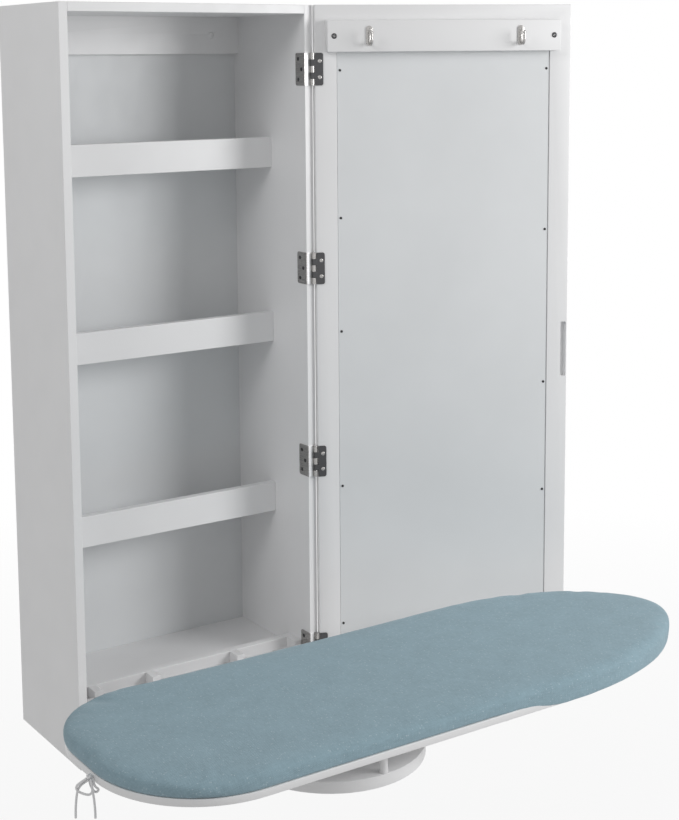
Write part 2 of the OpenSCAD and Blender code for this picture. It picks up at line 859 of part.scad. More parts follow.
module cord_tube(route) {
    n = cord_sides;
    points = [for (i = [0:len(route) - 1]) for (q = tube_ring(route[i], tube_dir(route, i), cord_r)) q];
    walls = [
        for (k = [0:len(route) - 2]) for (i = [0:n - 1])
            [k * n + i, k * n + (i + 1) % n, (k + 1) * n + (i + 1) % n, (k + 1) * n + i]
    ];
    first = [for (i = [n - 1:-1:0]) i];
    last = [for (i = [0:n - 1]) (len(route) - 1) * n + i];
    polyhedron(points = points, faces = concat(walls, [first, last]), convexity = 6);
}

module on_board_edge() {
    on_swivel() translate([0, 0, core_z]) children();
}

module drawstring_knot() {
    color(cord_grey) on_board_edge() translate(knot_at) sphere(r = knot_r, $fn = 24);
}

module drawstring_left_loop() {
    color(cord_grey) on_board_edge() cord_tube(left_loop_route);
}

module drawstring_right_loop() {
    color(cord_grey) on_board_edge() cord_tube(right_loop_route);
}

module drawstring_left_tail() {
    color(cord_grey) on_board_edge() cord_tube(left_tail_route);
}

module drawstring_right_tail() {
    color(cord_grey) on_board_edge() cord_tube(right_tail_route);
}

// Door frame, drawn as lengths of one rebated section
module stile_section() {
    step_y = -door_panel_sink - door_panel_t;
    glass_y = step_y - mirror_t;
    polygon([
        [0, 0], [door_border, 0], [door_border, step_y], [mirror_edge, step_y],
        [mirror_edge, glass_y], [door_face_w, glass_y], [door_face_w, -door_t], [0, -door_t]
    ]);
}

module door_stile_blank() {
    linear_extrude(case_h) stile_section();
}

module door_free_stile() {
    color(white) on_door() difference() {
        translate([door_free_x, door_inner_y, 0]) door_stile_blank();
        block([door_free_x + pull_edge, door_free_x + pull_edge + pull_w],
              [door_inner_y - pull_depth, door_inner_y + 1],
              [pull_z - pull_h / 2, pull_z + pull_h / 2]);
        panel_screw_shanks();
    }
}

module door_hinge_stile() {
    color(white) on_door() difference() {
        translate([door_hinge_x, door_inner_y, 0]) mirror([1, 0, 0]) door_stile_blank();
        panel_screw_shanks();
        door_leaf_screw_shanks();
    }
}

module door_rail(upper) {
    color(white) on_door() difference() {
        translate([door_free_x + door_border, door_inner_y, upper ? case_h : 0])
            mirror([0, 0, upper ? 1 : 0]) rotate([90, 0, 90])
                linear_extrude(door_w - 2 * door_border) rotate([0, 0, 90]) mirror([0, 1, 0])
                    stile_section();
        for (s = [0, 1])
            translate([s * door_mid_x * 2, 0, 0]) mirror([s, 0, 0])
                translate([door_free_x, door_inner_y, -1])
                    linear_extrude(case_h + 2) corner_clear();
    }
}

// Cut at each end of a door rail that lets it meet the stile's steps
module corner_clear() {
    step_y = -door_panel_sink - door_panel_t;
    glass_y = step_y - mirror_t;
    polygon([
        [-1, 1], [door_border, 1], [door_border, step_y], [mirror_edge, step_y],
        [mirror_edge, glass_y], [door_face_w, glass_y], [door_face_w, -door_t - 1], [-1, -door_t - 1]
    ]);
}

module door_top_rail() {
    door_rail(true);
}

module door_bottom_rail() {
    door_rail(false);
}

module door_back_panel() {
    color(hardboard_white) on_door() difference() {
        block([door_free_x + door_border, door_hinge_x - door_border],
              [panel_y - door_panel_t, panel_y], [door_border, case_h - door_border]);
        panel_screw_shanks();
    }
}

module mirror_glass() {
    color("silver") on_door()
        block([door_free_x + mirror_edge, door_hinge_x - mirror_edge],
              [mirror_y - mirror_t, mirror_y], [mirror_edge, case_h - mirror_edge]);
}

module panel_screw_places() {
    for (d = panel_screw_drops_hinge)
        translate([door_hinge_x - door_border - panel_screw_edge, 0, case_h - d]) children();
    for (d = panel_screw_drops_free)
        translate([door_free_x + door_border + panel_screw_edge, 0, case_h - d]) children();
}

module panel_screw_shanks() {
    panel_screw_places() rod_y(0, [panel_y - panel_screw_len, panel_y], 0, panel_screw_r);
}

module door_panel_screws() {
    color([0.15, 0.15, 0.15]) on_door() {
        panel_screw_shanks();
        panel_screw_places() rod_y(0, [panel_y, panel_y + panel_screw_head_t], 0, panel_screw_head_r);
    }
}

// Coat rail inside the door
module coat_screw_places() {
    for (s = [-1, 1])
        translate([coat_rail_mid_x + s * (coat_rail_len / 2 - coat_screw_inset), 0,
                   coat_rail_z + coat_rail_h / 2]) children();
}

module coat_screw_shanks() {
    coat_screw_places() rod_y(0, [door_inner_y + 1, coat_rail_y], 0, coat_screw_r);
}

module coat_screw_heads() {
    coat_screw_places() translate([0, coat_rail_y - coat_screw_head_t, 0]) rotate([-90, 0, 0])
        cylinder(h = coat_screw_head_t, r1 = coat_screw_r, r2 = coat_screw_head_r);
}

module coat_rail() {
    color(white) on_door() difference() {
        block([coat_rail_mid_x - coat_rail_len / 2, coat_rail_mid_x + coat_rail_len / 2],
              [door_inner_y, coat_rail_y], [coat_rail_z, coat_rail_z + coat_rail_h]);
        coat_screw_shanks();
        coat_screw_heads();
    }
}

module coat_rail_screws() {
    color(nickel) on_door() {
        coat_screw_shanks();
        coat_screw_heads();
    }
}

module coat_hook(s) {
    hook_z = coat_rail_z + coat_rail_h / 2;
    bottom_z = -hook_plate_h / 2 + hook_throat / 2 + hook_wire_r;
    root_y = hook_wire_r + 0.1;
    tip_y = root_y + hook_throat;
    color(nickel) on_door() translate([coat_rail_mid_x + s * coat_hook_x, coat_rail_y, hook_z]) {
        rod_y(0, [0, hook_plate_t], (hook_plate_h - hook_plate_w) / 2, hook_plate_w / 2);
        rod_y(0, [0, hook_plate_t], -(hook_plate_h - hook_plate_w) / 2, hook_plate_w / 2);
        block([-hook_plate_w / 2, hook_plate_w / 2], [0, hook_plate_t],
              [-(hook_plate_h - hook_plate_w) / 2, (hook_plate_h - hook_plate_w) / 2]);
        translate([0, root_y + hook_throat / 2, bottom_z]) rotate([0, 90, 0]) rotate([0, 0, -90])
            rotate_extrude(angle = 180) translate([hook_throat / 2, 0]) circle(r = hook_wire_r, $fn = 24);
        translate([0, tip_y, bottom_z]) cylinder(h = hook_tip_rise, r = hook_wire_r, $fn = 24);
        translate([0, tip_y, bottom_z + hook_tip_rise]) sphere(r = hook_wire_r + 0.6, $fn = 24);
    }
}

module left_coat_hook() {
    coat_hook(1);
}

module right_coat_hook() {
    coat_hook(-1);
}

// Door hinges
module hinge_barrel(i, case_leaf) {
    for (k = [0:hinge_knuckles - 1])
        if ((k % 2 == 0) == case_leaf)
            translate([hinge_x, hinge_y, hinge_z(i) - hinge_h / 2 + k * knuckle_h
                       + (case_leaf ? 0 : running_gap)])
                cylinder(h = knuckle_h - (case_leaf ? 0 : 2 * running_gap), r = hinge_barrel_r);
}

module hinge_bore(i, r) {
    translate([hinge_x, hinge_y, hinge_z(i) - hinge_h]) cylinder(h = 2 * hinge_h, r = r);
}

// Web that joins a leaf to its own knuckles
module hinge_webs(i, case_leaf, x, y) {
    for (k = [0:hinge_knuckles - 1])
        if ((k % 2 == 0) == case_leaf)
            block(x, y, [hinge_z(i) - hinge_h / 2 + k * knuckle_h + (case_leaf ? 0 : running_gap),
                         hinge_z(i) - hinge_h / 2 + (k + 1) * knuckle_h
                         - (case_leaf ? 0 : running_gap)]);
}

module case_leaf_screw_places() {
    for (i = [0:hinge_count - 1]) for (k = [-1:1])
        translate([side_inner_x, -case_d + (k == 0 ? hinge_screw_near : hinge_screw_far), hinge_z(i) + k * hinge_h * 0.32])
            children();
}

module case_leaf_screw(r, x) {
    case_leaf_screw_places() rod_x(x, 0, 0, r);
}

module door_hinge_case_leaves() {
    color(nickel) on_wall() for (i = [0:hinge_count - 1]) difference() {
        union() {
            block([side_inner_x - hinge_leaf_t, side_inner_x],
                  [-case_d - hinge_leaf_t, -case_d + hinge_leaf_reach],
                  [hinge_z(i) - hinge_h / 2, hinge_z(i) + hinge_h / 2]);
            block([side_inner_x - hinge_leaf_t, hinge_x - hinge_barrel_r - running_gap],
                  [-case_d - hinge_leaf_t, -case_d],
                  [hinge_z(i) - hinge_h / 2, hinge_z(i) + hinge_h / 2]);
            hinge_webs(i, true, [hinge_x - hinge_barrel_r - running_gap, hinge_x],
                       [hinge_y + 1, -case_d]);
            hinge_barrel(i, true);
        }
        hinge_bore(i, hinge_pin_r);
        case_leaf_screw(hinge_screw_r, [-hinge_leaf_t - 1, 1]);
    }
}

module door_hinge_pins() {
    color(steel) on_wall() for (i = [0:hinge_count - 1])
        translate([hinge_x, hinge_y, hinge_z(i) - hinge_h / 2]) cylinder(h = hinge_h, r = hinge_pin_r);
}

module case_leaf_screws() {
    color(nickel) on_wall() {
        case_leaf_screw(hinge_screw_r, [-hinge_leaf_t, hinge_screw_len]);
        case_leaf_screw(hinge_screw_head_r, [-hinge_leaf_t - hinge_screw_head_t, -hinge_leaf_t]);
    }
}

module door_leaf_screw_places() {
    for (i = [0:hinge_count - 1]) for (k = [-1, 1])
        translate([door_hinge_x - door_leaf_w * 0.55, 0, hinge_z(i) + k * hinge_h * 0.25]) children();
}

module door_leaf_screw_shanks() {
    door_leaf_screw_places() rod_y(0, [door_inner_y - hinge_screw_len, door_inner_y + hinge_leaf_t], 0,
                                   hinge_screw_r);
}

module door_hinge_door_leaves() {
    color(nickel) on_door() for (i = [0:hinge_count - 1]) difference() {
        union() {
            block([door_hinge_x - door_leaf_w, door_hinge_x + running_gap],
                  [door_inner_y, door_inner_y + hinge_leaf_t],
                  [hinge_z(i) - hinge_h / 2, hinge_z(i) + hinge_h / 2]);
            hinge_webs(i, false, [door_hinge_x, hinge_x], [door_inner_y, door_inner_y + hinge_leaf_t]);
            hinge_barrel(i, false);
        }
        hinge_bore(i, hinge_pin_r + pin_clearance);
        door_leaf_screw_shanks();
    }
}

module door_leaf_screws() {
    color(nickel) on_door() {
        door_leaf_screw_shanks();
        door_leaf_screw_places() rod_y(0, [door_inner_y + hinge_leaf_t,
            door_inner_y + hinge_leaf_t + hinge_screw_head_t], 0, hinge_screw_head_r);
    }
}

left_side();
right_side();
top_panel();
bottom_panel();
back_panel();
mounting_rail();
lower_rear_rail();
upper_shelf();
middle_shelf();
lower_shelf();
upper_shelf_lip();
middle_shelf_lip();
lower_shelf_lip();
tray_deck();
tray_front_board();
tray_rear_rail();
tray_left_end();
tray_right_end();
tray_left_divider();
tray_right_divider();
stay_ledge();
ledge_screws();
fold_hinge_fixed_leaves();
fold_hinge_pins();
fold_hinge_screws();
door_hinge_case_leaves();
door_hinge_pins();
case_leaf_screws();
support_frame();
fold_hinge_moving_leaves();
bearing_ring();
swivel_bolt();
swivel_washer();
swivel_nut();
stay_rod();
turntable_disc();
spacer_pegs();
peg_screws();
ironing_board();
foam_pad();
board_cover();
edge_bracket();
drawstring_knot();
drawstring_left_loop();
drawstring_right_loop();
drawstring_left_tail();
drawstring_right_tail();
door_free_stile();
door_hinge_stile();
door_top_rail();
door_bottom_rail();
door_back_panel();
mirror_glass();
coat_rail();
coat_rail_screws();
left_coat_hook();
right_coat_hook();
door_panel_screws();
door_hinge_door_leaves();
door_leaf_screws();
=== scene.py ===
import math

import bmesh
import bpy
from mathutils import Matrix, Vector, noise


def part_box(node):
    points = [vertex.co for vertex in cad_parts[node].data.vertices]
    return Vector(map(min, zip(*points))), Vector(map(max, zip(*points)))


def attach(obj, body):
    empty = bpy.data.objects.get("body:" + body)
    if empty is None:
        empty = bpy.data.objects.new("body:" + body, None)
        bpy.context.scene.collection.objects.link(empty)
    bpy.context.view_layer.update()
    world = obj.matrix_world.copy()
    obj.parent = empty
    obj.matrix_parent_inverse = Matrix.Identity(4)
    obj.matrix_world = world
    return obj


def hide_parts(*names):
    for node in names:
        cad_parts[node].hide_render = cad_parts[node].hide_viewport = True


bl_info = {
    "name": "Mirrored ironing board cabinet",
    "version": (1, 0, 0),
    "blender": (4, 5, 0),
    "location": "3D View > Sidebar > Cabinet",
    "description": "Dresses the mirrored ironing board cabinet with its finishes and soft pieces",
    "category": "Object",
}

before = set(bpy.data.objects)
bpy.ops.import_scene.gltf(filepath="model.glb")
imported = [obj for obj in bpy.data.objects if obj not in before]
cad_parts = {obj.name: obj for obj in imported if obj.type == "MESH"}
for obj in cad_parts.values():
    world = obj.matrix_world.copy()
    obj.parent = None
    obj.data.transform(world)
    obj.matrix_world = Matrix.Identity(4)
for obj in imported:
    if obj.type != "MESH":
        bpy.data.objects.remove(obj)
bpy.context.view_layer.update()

MM = 0.001
FOOT_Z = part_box("left_side")[0].z
HINGE_X, HINGE_Y = 0.1822, -0.1962
SWIVEL_Y = -0.502
CORE_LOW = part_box("ironing_board")[0].z
CORE_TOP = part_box("ironing_board")[1].z
DOOR_OPEN = math.radians(157.6)
PAD_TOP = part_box("board_cover")[1].z
ON_DOOR = (Matrix.Translation((HINGE_X, HINGE_Y, 0)) @ Matrix.Rotation(DOOR_OPEN, 4, "Z")
           @ Matrix.Translation((-HINGE_X, -HINGE_Y, 0)))
DOOR_INNER_Y = -0.1945
DOOR_FREE_X = -0.185
DOOR_HINGE_X = 0.1785
DOOR_H = 0.990
DOOR_BORDER, MIRROR_EDGE, FACE_W, DOOR_T = 0.030, 0.038, 0.044, 0.018
PANEL_BACK, MIRROR_FRONT = 0.0042, 0.0074
PANEL_SCREW_IN = 0.0345
RIM_STEP = 0.0052
SHARP = 0.5  # radians between two faces, over which their edge is rounded
FOCAL_PX, PHOTO_H_PX, SENSOR_MM = 1536, 820, 36.0
SHIFT_PX = (19.5, -150)


# Sizes and colours that a user would change

def colour(name, description, default):
    return bpy.props.FloatVectorProperty(name=name, description=description, subtype="COLOR",
                                         size=3, min=0, max=1, default=default)


def length(name, description, default, low, high):
    return bpy.props.FloatProperty(name=name, description=description, unit="LENGTH",
                                   min=low, max=high, default=default)


class CabinetLook(bpy.types.PropertyGroup):
    paint: colour("Paint", "Colour of the painted boards", (0.80, 0.80, 0.805))
    panel: colour("Back panels", "Colour of the painted hardboard", (0.72, 0.735, 0.745))
    edge_radius: length("Edge radius", "Rounding of the boards' edges", 0.0007, 0.0001, 0.003)


class DoorLook(bpy.types.PropertyGroup):
    nickel: colour("Nickel", "Colour of the hinges and hooks", (0.42, 0.41, 0.40))
    leaf_radius: length("Leaf corners", "Corner radius of the hinge leaves", 0.003, 0.0005, 0.006)
    mirror_arris: length(
        "Mirror edge", "Width of the ground edge of the mirror", 0.0012, 0.0002, 0.003)


class BoardLook(bpy.types.PropertyGroup):
    cloth: colour("Cover cloth", "Main colour of the cover", (0.252, 0.358, 0.410))
    cloth_fleck: colour(
        "Cover fleck", "Colour of the pale fibres in the cover", (0.52, 0.62, 0.66))
    pucker: length("Pucker", "Depth of the gathers along the cover's hem", 0.0009, 0, 0.003)
    swell: length("Swell", "Furthest that the stuffed cover may bulge", 0.0022, 0, 0.006)


class SteelLook(bpy.types.PropertyGroup):
    powder: colour("Powder coat", "Colour of the support frame", (0.50, 0.50, 0.51))
    zinc: colour("Zinc", "Colour of the plated steel", (0.55, 0.56, 0.57))


class StageLook(bpy.types.PropertyGroup):
    camera_at: bpy.props.FloatVectorProperty(
        name="Camera", description="Where the camera stands", subtype="TRANSLATION",
        size=3, default=(-0.966, -1.952, -0.036))
    sky: bpy.props.FloatProperty(
        name="Sky", description="Strength of the light from all sides", min=0, default=0.365)
    key: bpy.props.FloatProperty(
        name="Key lamp", description="Power of the lamp at the front right", min=0, default=22.5)
    side: bpy.props.FloatProperty(
        name="Side lamp", description="Power of the lamp at the left", min=0, default=11.0)
    floor_drop: bpy.props.FloatProperty(
        name="Floor", description="Height of the cabinet above the floor", unit="LENGTH",
        min=0, default=0.55)


# Wiring of shader nodes

GROUPS = {}
MATERIALS = {}


class Wires:
    def __init__(self, tree):
        self.tree = tree

    def add(self, kind, inputs=None, **settings):
        node = self.tree.nodes.new(kind)
        for key, value in settings.items():
            setattr(node, key, value)
        for key, value in (inputs or {}).items():
            self.feed(node.inputs[key], value)
        return node

    def feed(self, socket, value):
        if isinstance(value, bpy.types.NodeSocket):
            self.tree.links.new(value, socket)
        elif isinstance(value, bpy.types.Node):
            self.tree.links.new(value.outputs[0], socket)
        else:
            socket.default_value = value

    def math(self, operation, a, b=0.0):
        return self.add("ShaderNodeMath", {0: a, 1: b}, operation=operation).outputs[0]

    def times(self, a, b):
        return self.math("MULTIPLY", a, b)

    def stretch(self, place, factors):
        return self.add("ShaderNodeVectorMath", {0: place, 1: factors}, operation="MULTIPLY")

    def span(self, value, low, high, to_low=0.0, to_high=1.0):
        return self.add("ShaderNodeMapRange", {"Value": value, "From Min": low, "From Max": high,
                                               "To Min": to_low, "To Max": to_high}).outputs[0]

    def mix(self, share, a, b):
        return self.add("ShaderNodeMix", {0: share, 6: a, 7: b}, data_type="RGBA").outputs[2]

    def noise(self, scale, detail, place, rough=0.5):
        return self.add("ShaderNodeTexNoise", {"Vector": place, "Scale": scale, "Detail": detail,
                                               "Roughness": rough}).outputs[0]


def new_group(key, name, inputs, outputs):
    """A group with a place, as its wires, the values given to it and the sockets it fills."""
    tree = bpy.data.node_groups.new(name, "ShaderNodeTree")
    for label, default in (("Place", (0, 0, 0)), *inputs):
        kind = "NodeSocketVector" if isinstance(default, tuple) else "NodeSocketFloat"
        socket = tree.interface.new_socket(label, in_out="INPUT", socket_type=kind)
        socket.default_value = default
    for label in outputs:
        tree.interface.new_socket(label, in_out="OUTPUT", socket_type="NodeSocketFloat")
    GROUPS[key] = tree
    wires = Wires(tree)
    return wires, wires.add("NodeGroupInput").outputs, wires.add("NodeGroupOutput").inputs


def group_paint():
    """Fine roller texture and soft clouding of sprayed paint."""
    w, given, out = new_group(
        "paint", "Sprayed paint", [("Grain size", 900.0), ("Clouding", 0.5)],
        ["Height", "Cloud", "Gloss"])
    grain = w.noise(given["Grain size"], 2.0, given["Place"])
    slow = w.noise(9.0, 3.0, given["Place"])
    w.feed(out["Height"], grain)
    w.feed(out["Cloud"], w.times(w.span(slow, 0.3, 0.7), given["Clouding"]))
    w.feed(out["Gloss"], w.span(w.noise(40.0, 3.0, given["Place"]), 0.3, 0.7))


def group_edge():
    """Marks the rounded edges, where paint and plating rub thin."""
    w, given, out = new_group(
        "edge", "Edge wear", [("Amount", 0.5)], ["Worn"])
    edge = w.add("ShaderNodeAttribute", attribute_name="rounded_edge").outputs["Fac"]
    patchy = w.span(w.noise(70.0, 4.0, given["Place"]), 0.45, 0.75)
    w.feed(out["Worn"], w.times(w.times(edge, patchy), given["Amount"]))


def group_brush():
    """Long fine scratches along one axis, as on rolled and brushed metal."""
    w, given, out = new_group(
        "brush", "Brushing", [("Stretch", (1.0, 1.0, 30.0)), ("Size", 60.0)],
        ["Height", "Streak"])
    along = w.stretch(given["Place"], given["Stretch"])
    streak = w.noise(given["Size"], 4.0, along)
    w.feed(out["Height"], streak)
    w.feed(out["Streak"], w.span(streak, 0.3, 0.7))


def group_weave():
    """Plain weave with slubs and pale flecks, from the cloth's own flat coordinates."""
    w, given, out = new_group(
        "weave", "Plain weave", [("Threads", 1500.0)],
        ["Height", "Thread", "Fleck", "Heather"])
    place = given["Place"]
    bend = w.noise(120.0, 2.0, place)
    wobble = w.add("ShaderNodeCombineXYZ", {0: w.times(bend, 0.0006),
                                            1: w.times(bend, 0.0004)})
    shifted = w.add("ShaderNodeVectorMath", {0: place, 1: wobble}, operation="ADD")
    parts = w.add("ShaderNodeSeparateXYZ", {0: shifted})
    warp = w.math("SINE", w.times(parts.outputs[0], given["Threads"]))
    weft = w.math("SINE", w.times(parts.outputs[1], given["Threads"]))
    w.feed(out["Height"], w.span(w.times(warp, weft), -1, 1))
    slub_x = w.noise(90.0, 4.0, w.stretch(place, (1.0, 9.0, 1.0)))
    slub_y = w.noise(90.0, 4.0, w.stretch(place, (9.0, 1.0, 1.0)))
    w.feed(out["Thread"], w.span(w.math("ADD", slub_x, slub_y), 0.8, 1.25))
    cells = w.add("ShaderNodeTexVoronoi", {"Vector": place, "Scale": 330.0}, feature="F1")
    speck = w.span(cells.outputs["Distance"], 0.34, 0.08)
    chosen = w.math("GREATER_THAN", w.noise(210.0, 1.0, place), 0.56)
    w.feed(out["Fleck"], w.times(speck, chosen))
    w.feed(out["Heather"], w.span(w.noise(26.0, 5.0, place, 0.65), 0.32, 0.68))


def use_group(w, name, **inputs):
    node = w.add("ShaderNodeGroup")
    node.node_tree = GROUPS[name]
    for key, value in inputs.items():
        w.feed(node.inputs[key.replace("_", " ").capitalize()], value)
    return node


def new_material(name, **sockets):
    material = bpy.data.materials.new(name)
    material.use_nodes = True
    w = Wires(material.node_tree)
    shader = material.node_tree.nodes["Principled BSDF"]
    for key, value in sockets.items():
        shader.inputs[key.replace("_", " ")].default_value = value
    MATERIALS[name] = material
    return w, shader.inputs


def object_place(w):
    return w.add("ShaderNodeTexCoord").outputs["Object"]


def shade(color, factor):
    return tuple(min(1.0, c * factor) for c in color) + (1.0,)


def bump(w, skin, height, depth, strength=1.0):
    node = w.add("ShaderNodeBump", {"Height": height, "Distance": depth, "Strength": strength})
    w.feed(skin["Normal"], node)


def finish(w, skin, color, texture, streak, gloss, shades, rough, worn, depth, strength):
    """Clouded colour, thin edges, gloss and fine relief of a painted or plated surface."""
    edge = use_group(w, "edge", place=object_place(w), amount=worn)
    dull, bright, bare = (shade(color, factor) for factor in shades)
    tone = w.mix(texture.outputs[streak], dull, bright)
    w.feed(skin["Base Color"], w.mix(edge.outputs["Worn"], tone, bare))
    w.feed(skin["Roughness"], w.span(texture.outputs[gloss], 0, 1, *rough))
    bump(w, skin, texture.outputs["Height"], depth, strength)


def painted(name, color, cloud=0.5, rough=(0.34, 0.46), worn=0.25):
    w, skin = new_material(name, Specular_IOR_Level=0.42)
    paint = use_group(w, "paint", place=object_place(w), grain_size=750.0, clouding=cloud)
    finish(w, skin, color, paint, "Cloud", "Gloss", (1.0, 0.955, 1.12), rough, worn, 0.00006, 0.6)


def metal(name, color, rough=(0.2, 0.34), stretch=(1.0, 1.0, 30.0), metallic=1.0):
    w, skin = new_material(name, Metallic=metallic)
    brush = use_group(w, "brush", place=object_place(w), stretch=stretch, size=90.0)
    finish(w, skin, color, brush, "Streak", "Streak", (0.9, 1.06, 1.45), rough, 0.35, 0.00003,
           0.5)


def cloth_material(look):
    w, skin = new_material("cover_cloth", Roughness=0.86, Specular_IOR_Level=0.2,
                           Sheen_Weight=0.28, Sheen_Roughness=0.5,
                           Sheen_Tint=(0.80, 0.90, 0.95, 1.0))
    place = w.add("ShaderNodeUVMap", uv_map="cloth").outputs[0]
    weave = use_group(w, "weave", place=place, threads=2600.0)
    base = look.cloth
    heather = w.mix(weave.outputs["Heather"], shade(base, 0.93), shade(base, 1.08))
    thread = w.mix(w.times(weave.outputs["Thread"], 0.45), heather, shade(base, 1.42))
    sunk = w.mix(w.times(weave.outputs["Height"], 0.22), thread, shade(base, 0.72))
    fleck = w.times(weave.outputs["Fleck"], 0.75)
    w.feed(skin["Base Color"], w.mix(fleck, sunk, tuple(look.cloth_fleck) + (1.0,)))
    bump(w, skin, weave.outputs["Height"], 0.00025, 0.7)


def cord_material():
    w, skin = new_material("cord", Roughness=0.8, Sheen_Weight=0.2)
    place = object_place(w)
    braid = w.add("ShaderNodeTexWave", {"Vector": place, "Scale": 420.0, "Distortion": 3.0},
                  bands_direction="DIAGONAL").outputs["Fac"]
    cross = w.noise(1400.0, 2.0, place)
    w.feed(skin["Base Color"],
           w.mix(w.times(braid, cross), (0.78, 0.78, 0.79, 1), (0.94, 0.94, 0.95, 1)))
    bump(w, skin, braid, 0.0003, 0.6)


def mirror_material():
    w, skin = new_material("mirror_glass", Metallic=1.0, Coat_Weight=0.4, Coat_Roughness=0.0)
    dust = w.span(w.noise(35.0, 5.0, object_place(w)), 0.35, 0.75)
    w.feed(skin["Base Color"], w.mix(dust, (0.90, 0.93, 0.925, 1), (0.87, 0.90, 0.895, 1)))
    w.feed(skin["Roughness"], w.span(dust, 0, 1, 0.008, 0.03))


# Meshes

def to_mesh(name, bm):
    mesh = bpy.data.meshes.new(name)
    bm.to_mesh(mesh)
    bm.free()
    return mesh


def show(name, data):
    holder = bpy.data.objects.new(name, data)
    bpy.context.scene.collection.objects.link(holder)
    return holder


def evaluated_mesh(piece):
    return bpy.data.meshes.new_from_object(
        piece.evaluated_get(bpy.context.evaluated_depsgraph_get()))


def join_rings(bm, loops, closed=False):
    """Faces from each ring of points to the next, and from the last to the first if closed."""
    n = len(loops[0])
    pairs = list(zip(loops, loops[1:])) + ([(loops[-1], loops[0])] if closed else [])
    return [bm.faces.new((a[k], a[(k + 1) % n], b[(k + 1) % n], b[k]))
            for a, b in pairs for k in range(n)]


def circle(sides):
    turn = [math.tau * k / sides for k in range(sides)]
    return [(math.cos(a), math.sin(a)) for a in turn]


def put(name, bm, material, body, replaced=(), smooth=0.38):
    """Turns a bmesh into a piece that rides on a body. The door's are given as it is closed."""
    bm.normal_update()
    mesh = to_mesh(name, bm)
    if body == "door":
        mesh.transform(ON_DOOR)
    mesh.shade_smooth()
    mesh.set_sharp_from_angle(angle=smooth)
    mesh.materials.append(MATERIALS[material])
    piece = show(name, mesh)
    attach(piece, body)
    if replaced:
        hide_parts(*replaced)
    return piece


def round_edges(bm, radius, segments=2):
    """Rounds the sharp edges of a closed form and marks the new faces."""
    layers = bm.faces.layers.float
    layer = layers.get("rounded_edge") or layers.new("rounded_edge")
    bmesh.ops.remove_doubles(bm, verts=bm.verts, dist=2e-6)
    bmesh.ops.dissolve_limit(bm, angle_limit=0.02, verts=bm.verts, edges=bm.edges)
    sharp = [e for e in bm.edges if len(e.link_faces) == 2 and e.calc_face_angle(0) > SHARP]
    made = bmesh.ops.bevel(bm, geom=sharp, offset=radius, segments=segments, profile=0.5,
                           affect="EDGES", clamp_overlap=True)
    for face in made["faces"]:
        face[layer] = 1.0


def eased(node, radius, material, body):
    """A copy of a CAD solid with its sharp edges rounded, which stands for the solid."""
    bm = bmesh.new()
    bm.from_mesh(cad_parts[node].data)
    round_edges(bm, radius)
    put(node + "_eased", bm, material, body, (node,))


def ease_boards(nodes):
    for node in nodes:
        eased(node, bpy.context.scene.cabinet_look.edge_radius, "white_paint", "case")


def box_bm(low, high, bm=None):
    bm = bm or bmesh.new()
    size = [h - l for l, h in zip(low, high)]
    middle = [(h + l) / 2 for l, h in zip(low, high)]
    bmesh.ops.create_cube(bm, size=1.0, matrix=Matrix.Translation(middle)
                          @ Matrix.Diagonal((*size, 1)))
    return bm


def slab(outline, low, high, bm=None, axis="Z"):
    """A plate with the given outline between two heights along an axis."""
    bm = bm or bmesh.new()
    turn = {"Z": lambda a, b, c: (a, b, c), "Y": lambda a, b, c: (a, c, b),
            "X": lambda a, b, c: (c, a, b)}[axis]
    bottom = [bm.verts.new(turn(a, b, low)) for a, b in outline]
    top = [bm.verts.new(turn(a, b, high)) for a, b in outline]
    faces = [bm.faces.new(bottom[::-1]), bm.faces.new(top)] + join_rings(bm, [bottom, top])
    bmesh.ops.recalc_face_normals(bm, faces=faces)
    return bm


def rounded_rect(x0, x1, y0, y1, radii, steps=6):
    """Outline of a rectangle whose corners, from the lowest round by the right, have radii."""
    corners = [(x0, y0, 180), (x1, y0, 270), (x1, y1, 0), (x0, y1, 90)]
    points = []
    for (cx, cy, start), r in zip(corners, radii):
        mx = cx + (r if cx == x0 else -r)
        my = cy + (r if cy == y0 else -r)
        if r <= 0:
            points.append((cx, cy))
            continue
        for k in range(steps + 1):
            a = math.radians(start + 90 * k / steps)
            points.append((mx + r * math.cos(a), my + r * math.sin(a)))
    return points


def drum(bm, low, high, radius, sides=32, axis="Z", hole=0.0):
    """A closed cylinder or tube between two points on a line along an axis."""
    turn = {"Z": Matrix.Identity(4), "Y": Matrix.Rotation(-math.pi / 2, 4, "X")}[axis]
    start = Matrix.Translation(low) @ turn
    length = (Vector(high) - Vector(low)).length
    rings = [(radius, 0.0), (radius, length)] + ([(hole, length), (hole, 0.0)] if hole else [])
    loops = [[bm.verts.new(start @ Vector((r * c, r * s, h))) for c, s in circle(sides)]
             for r, h in rings]
    faces = join_rings(bm, loops, bool(hole))
    if not hole:
        faces += [bm.faces.new(loops[0][::-1]), bm.faces.new(loops[-1])]
    bmesh.ops.recalc_face_normals(bm, faces=faces)


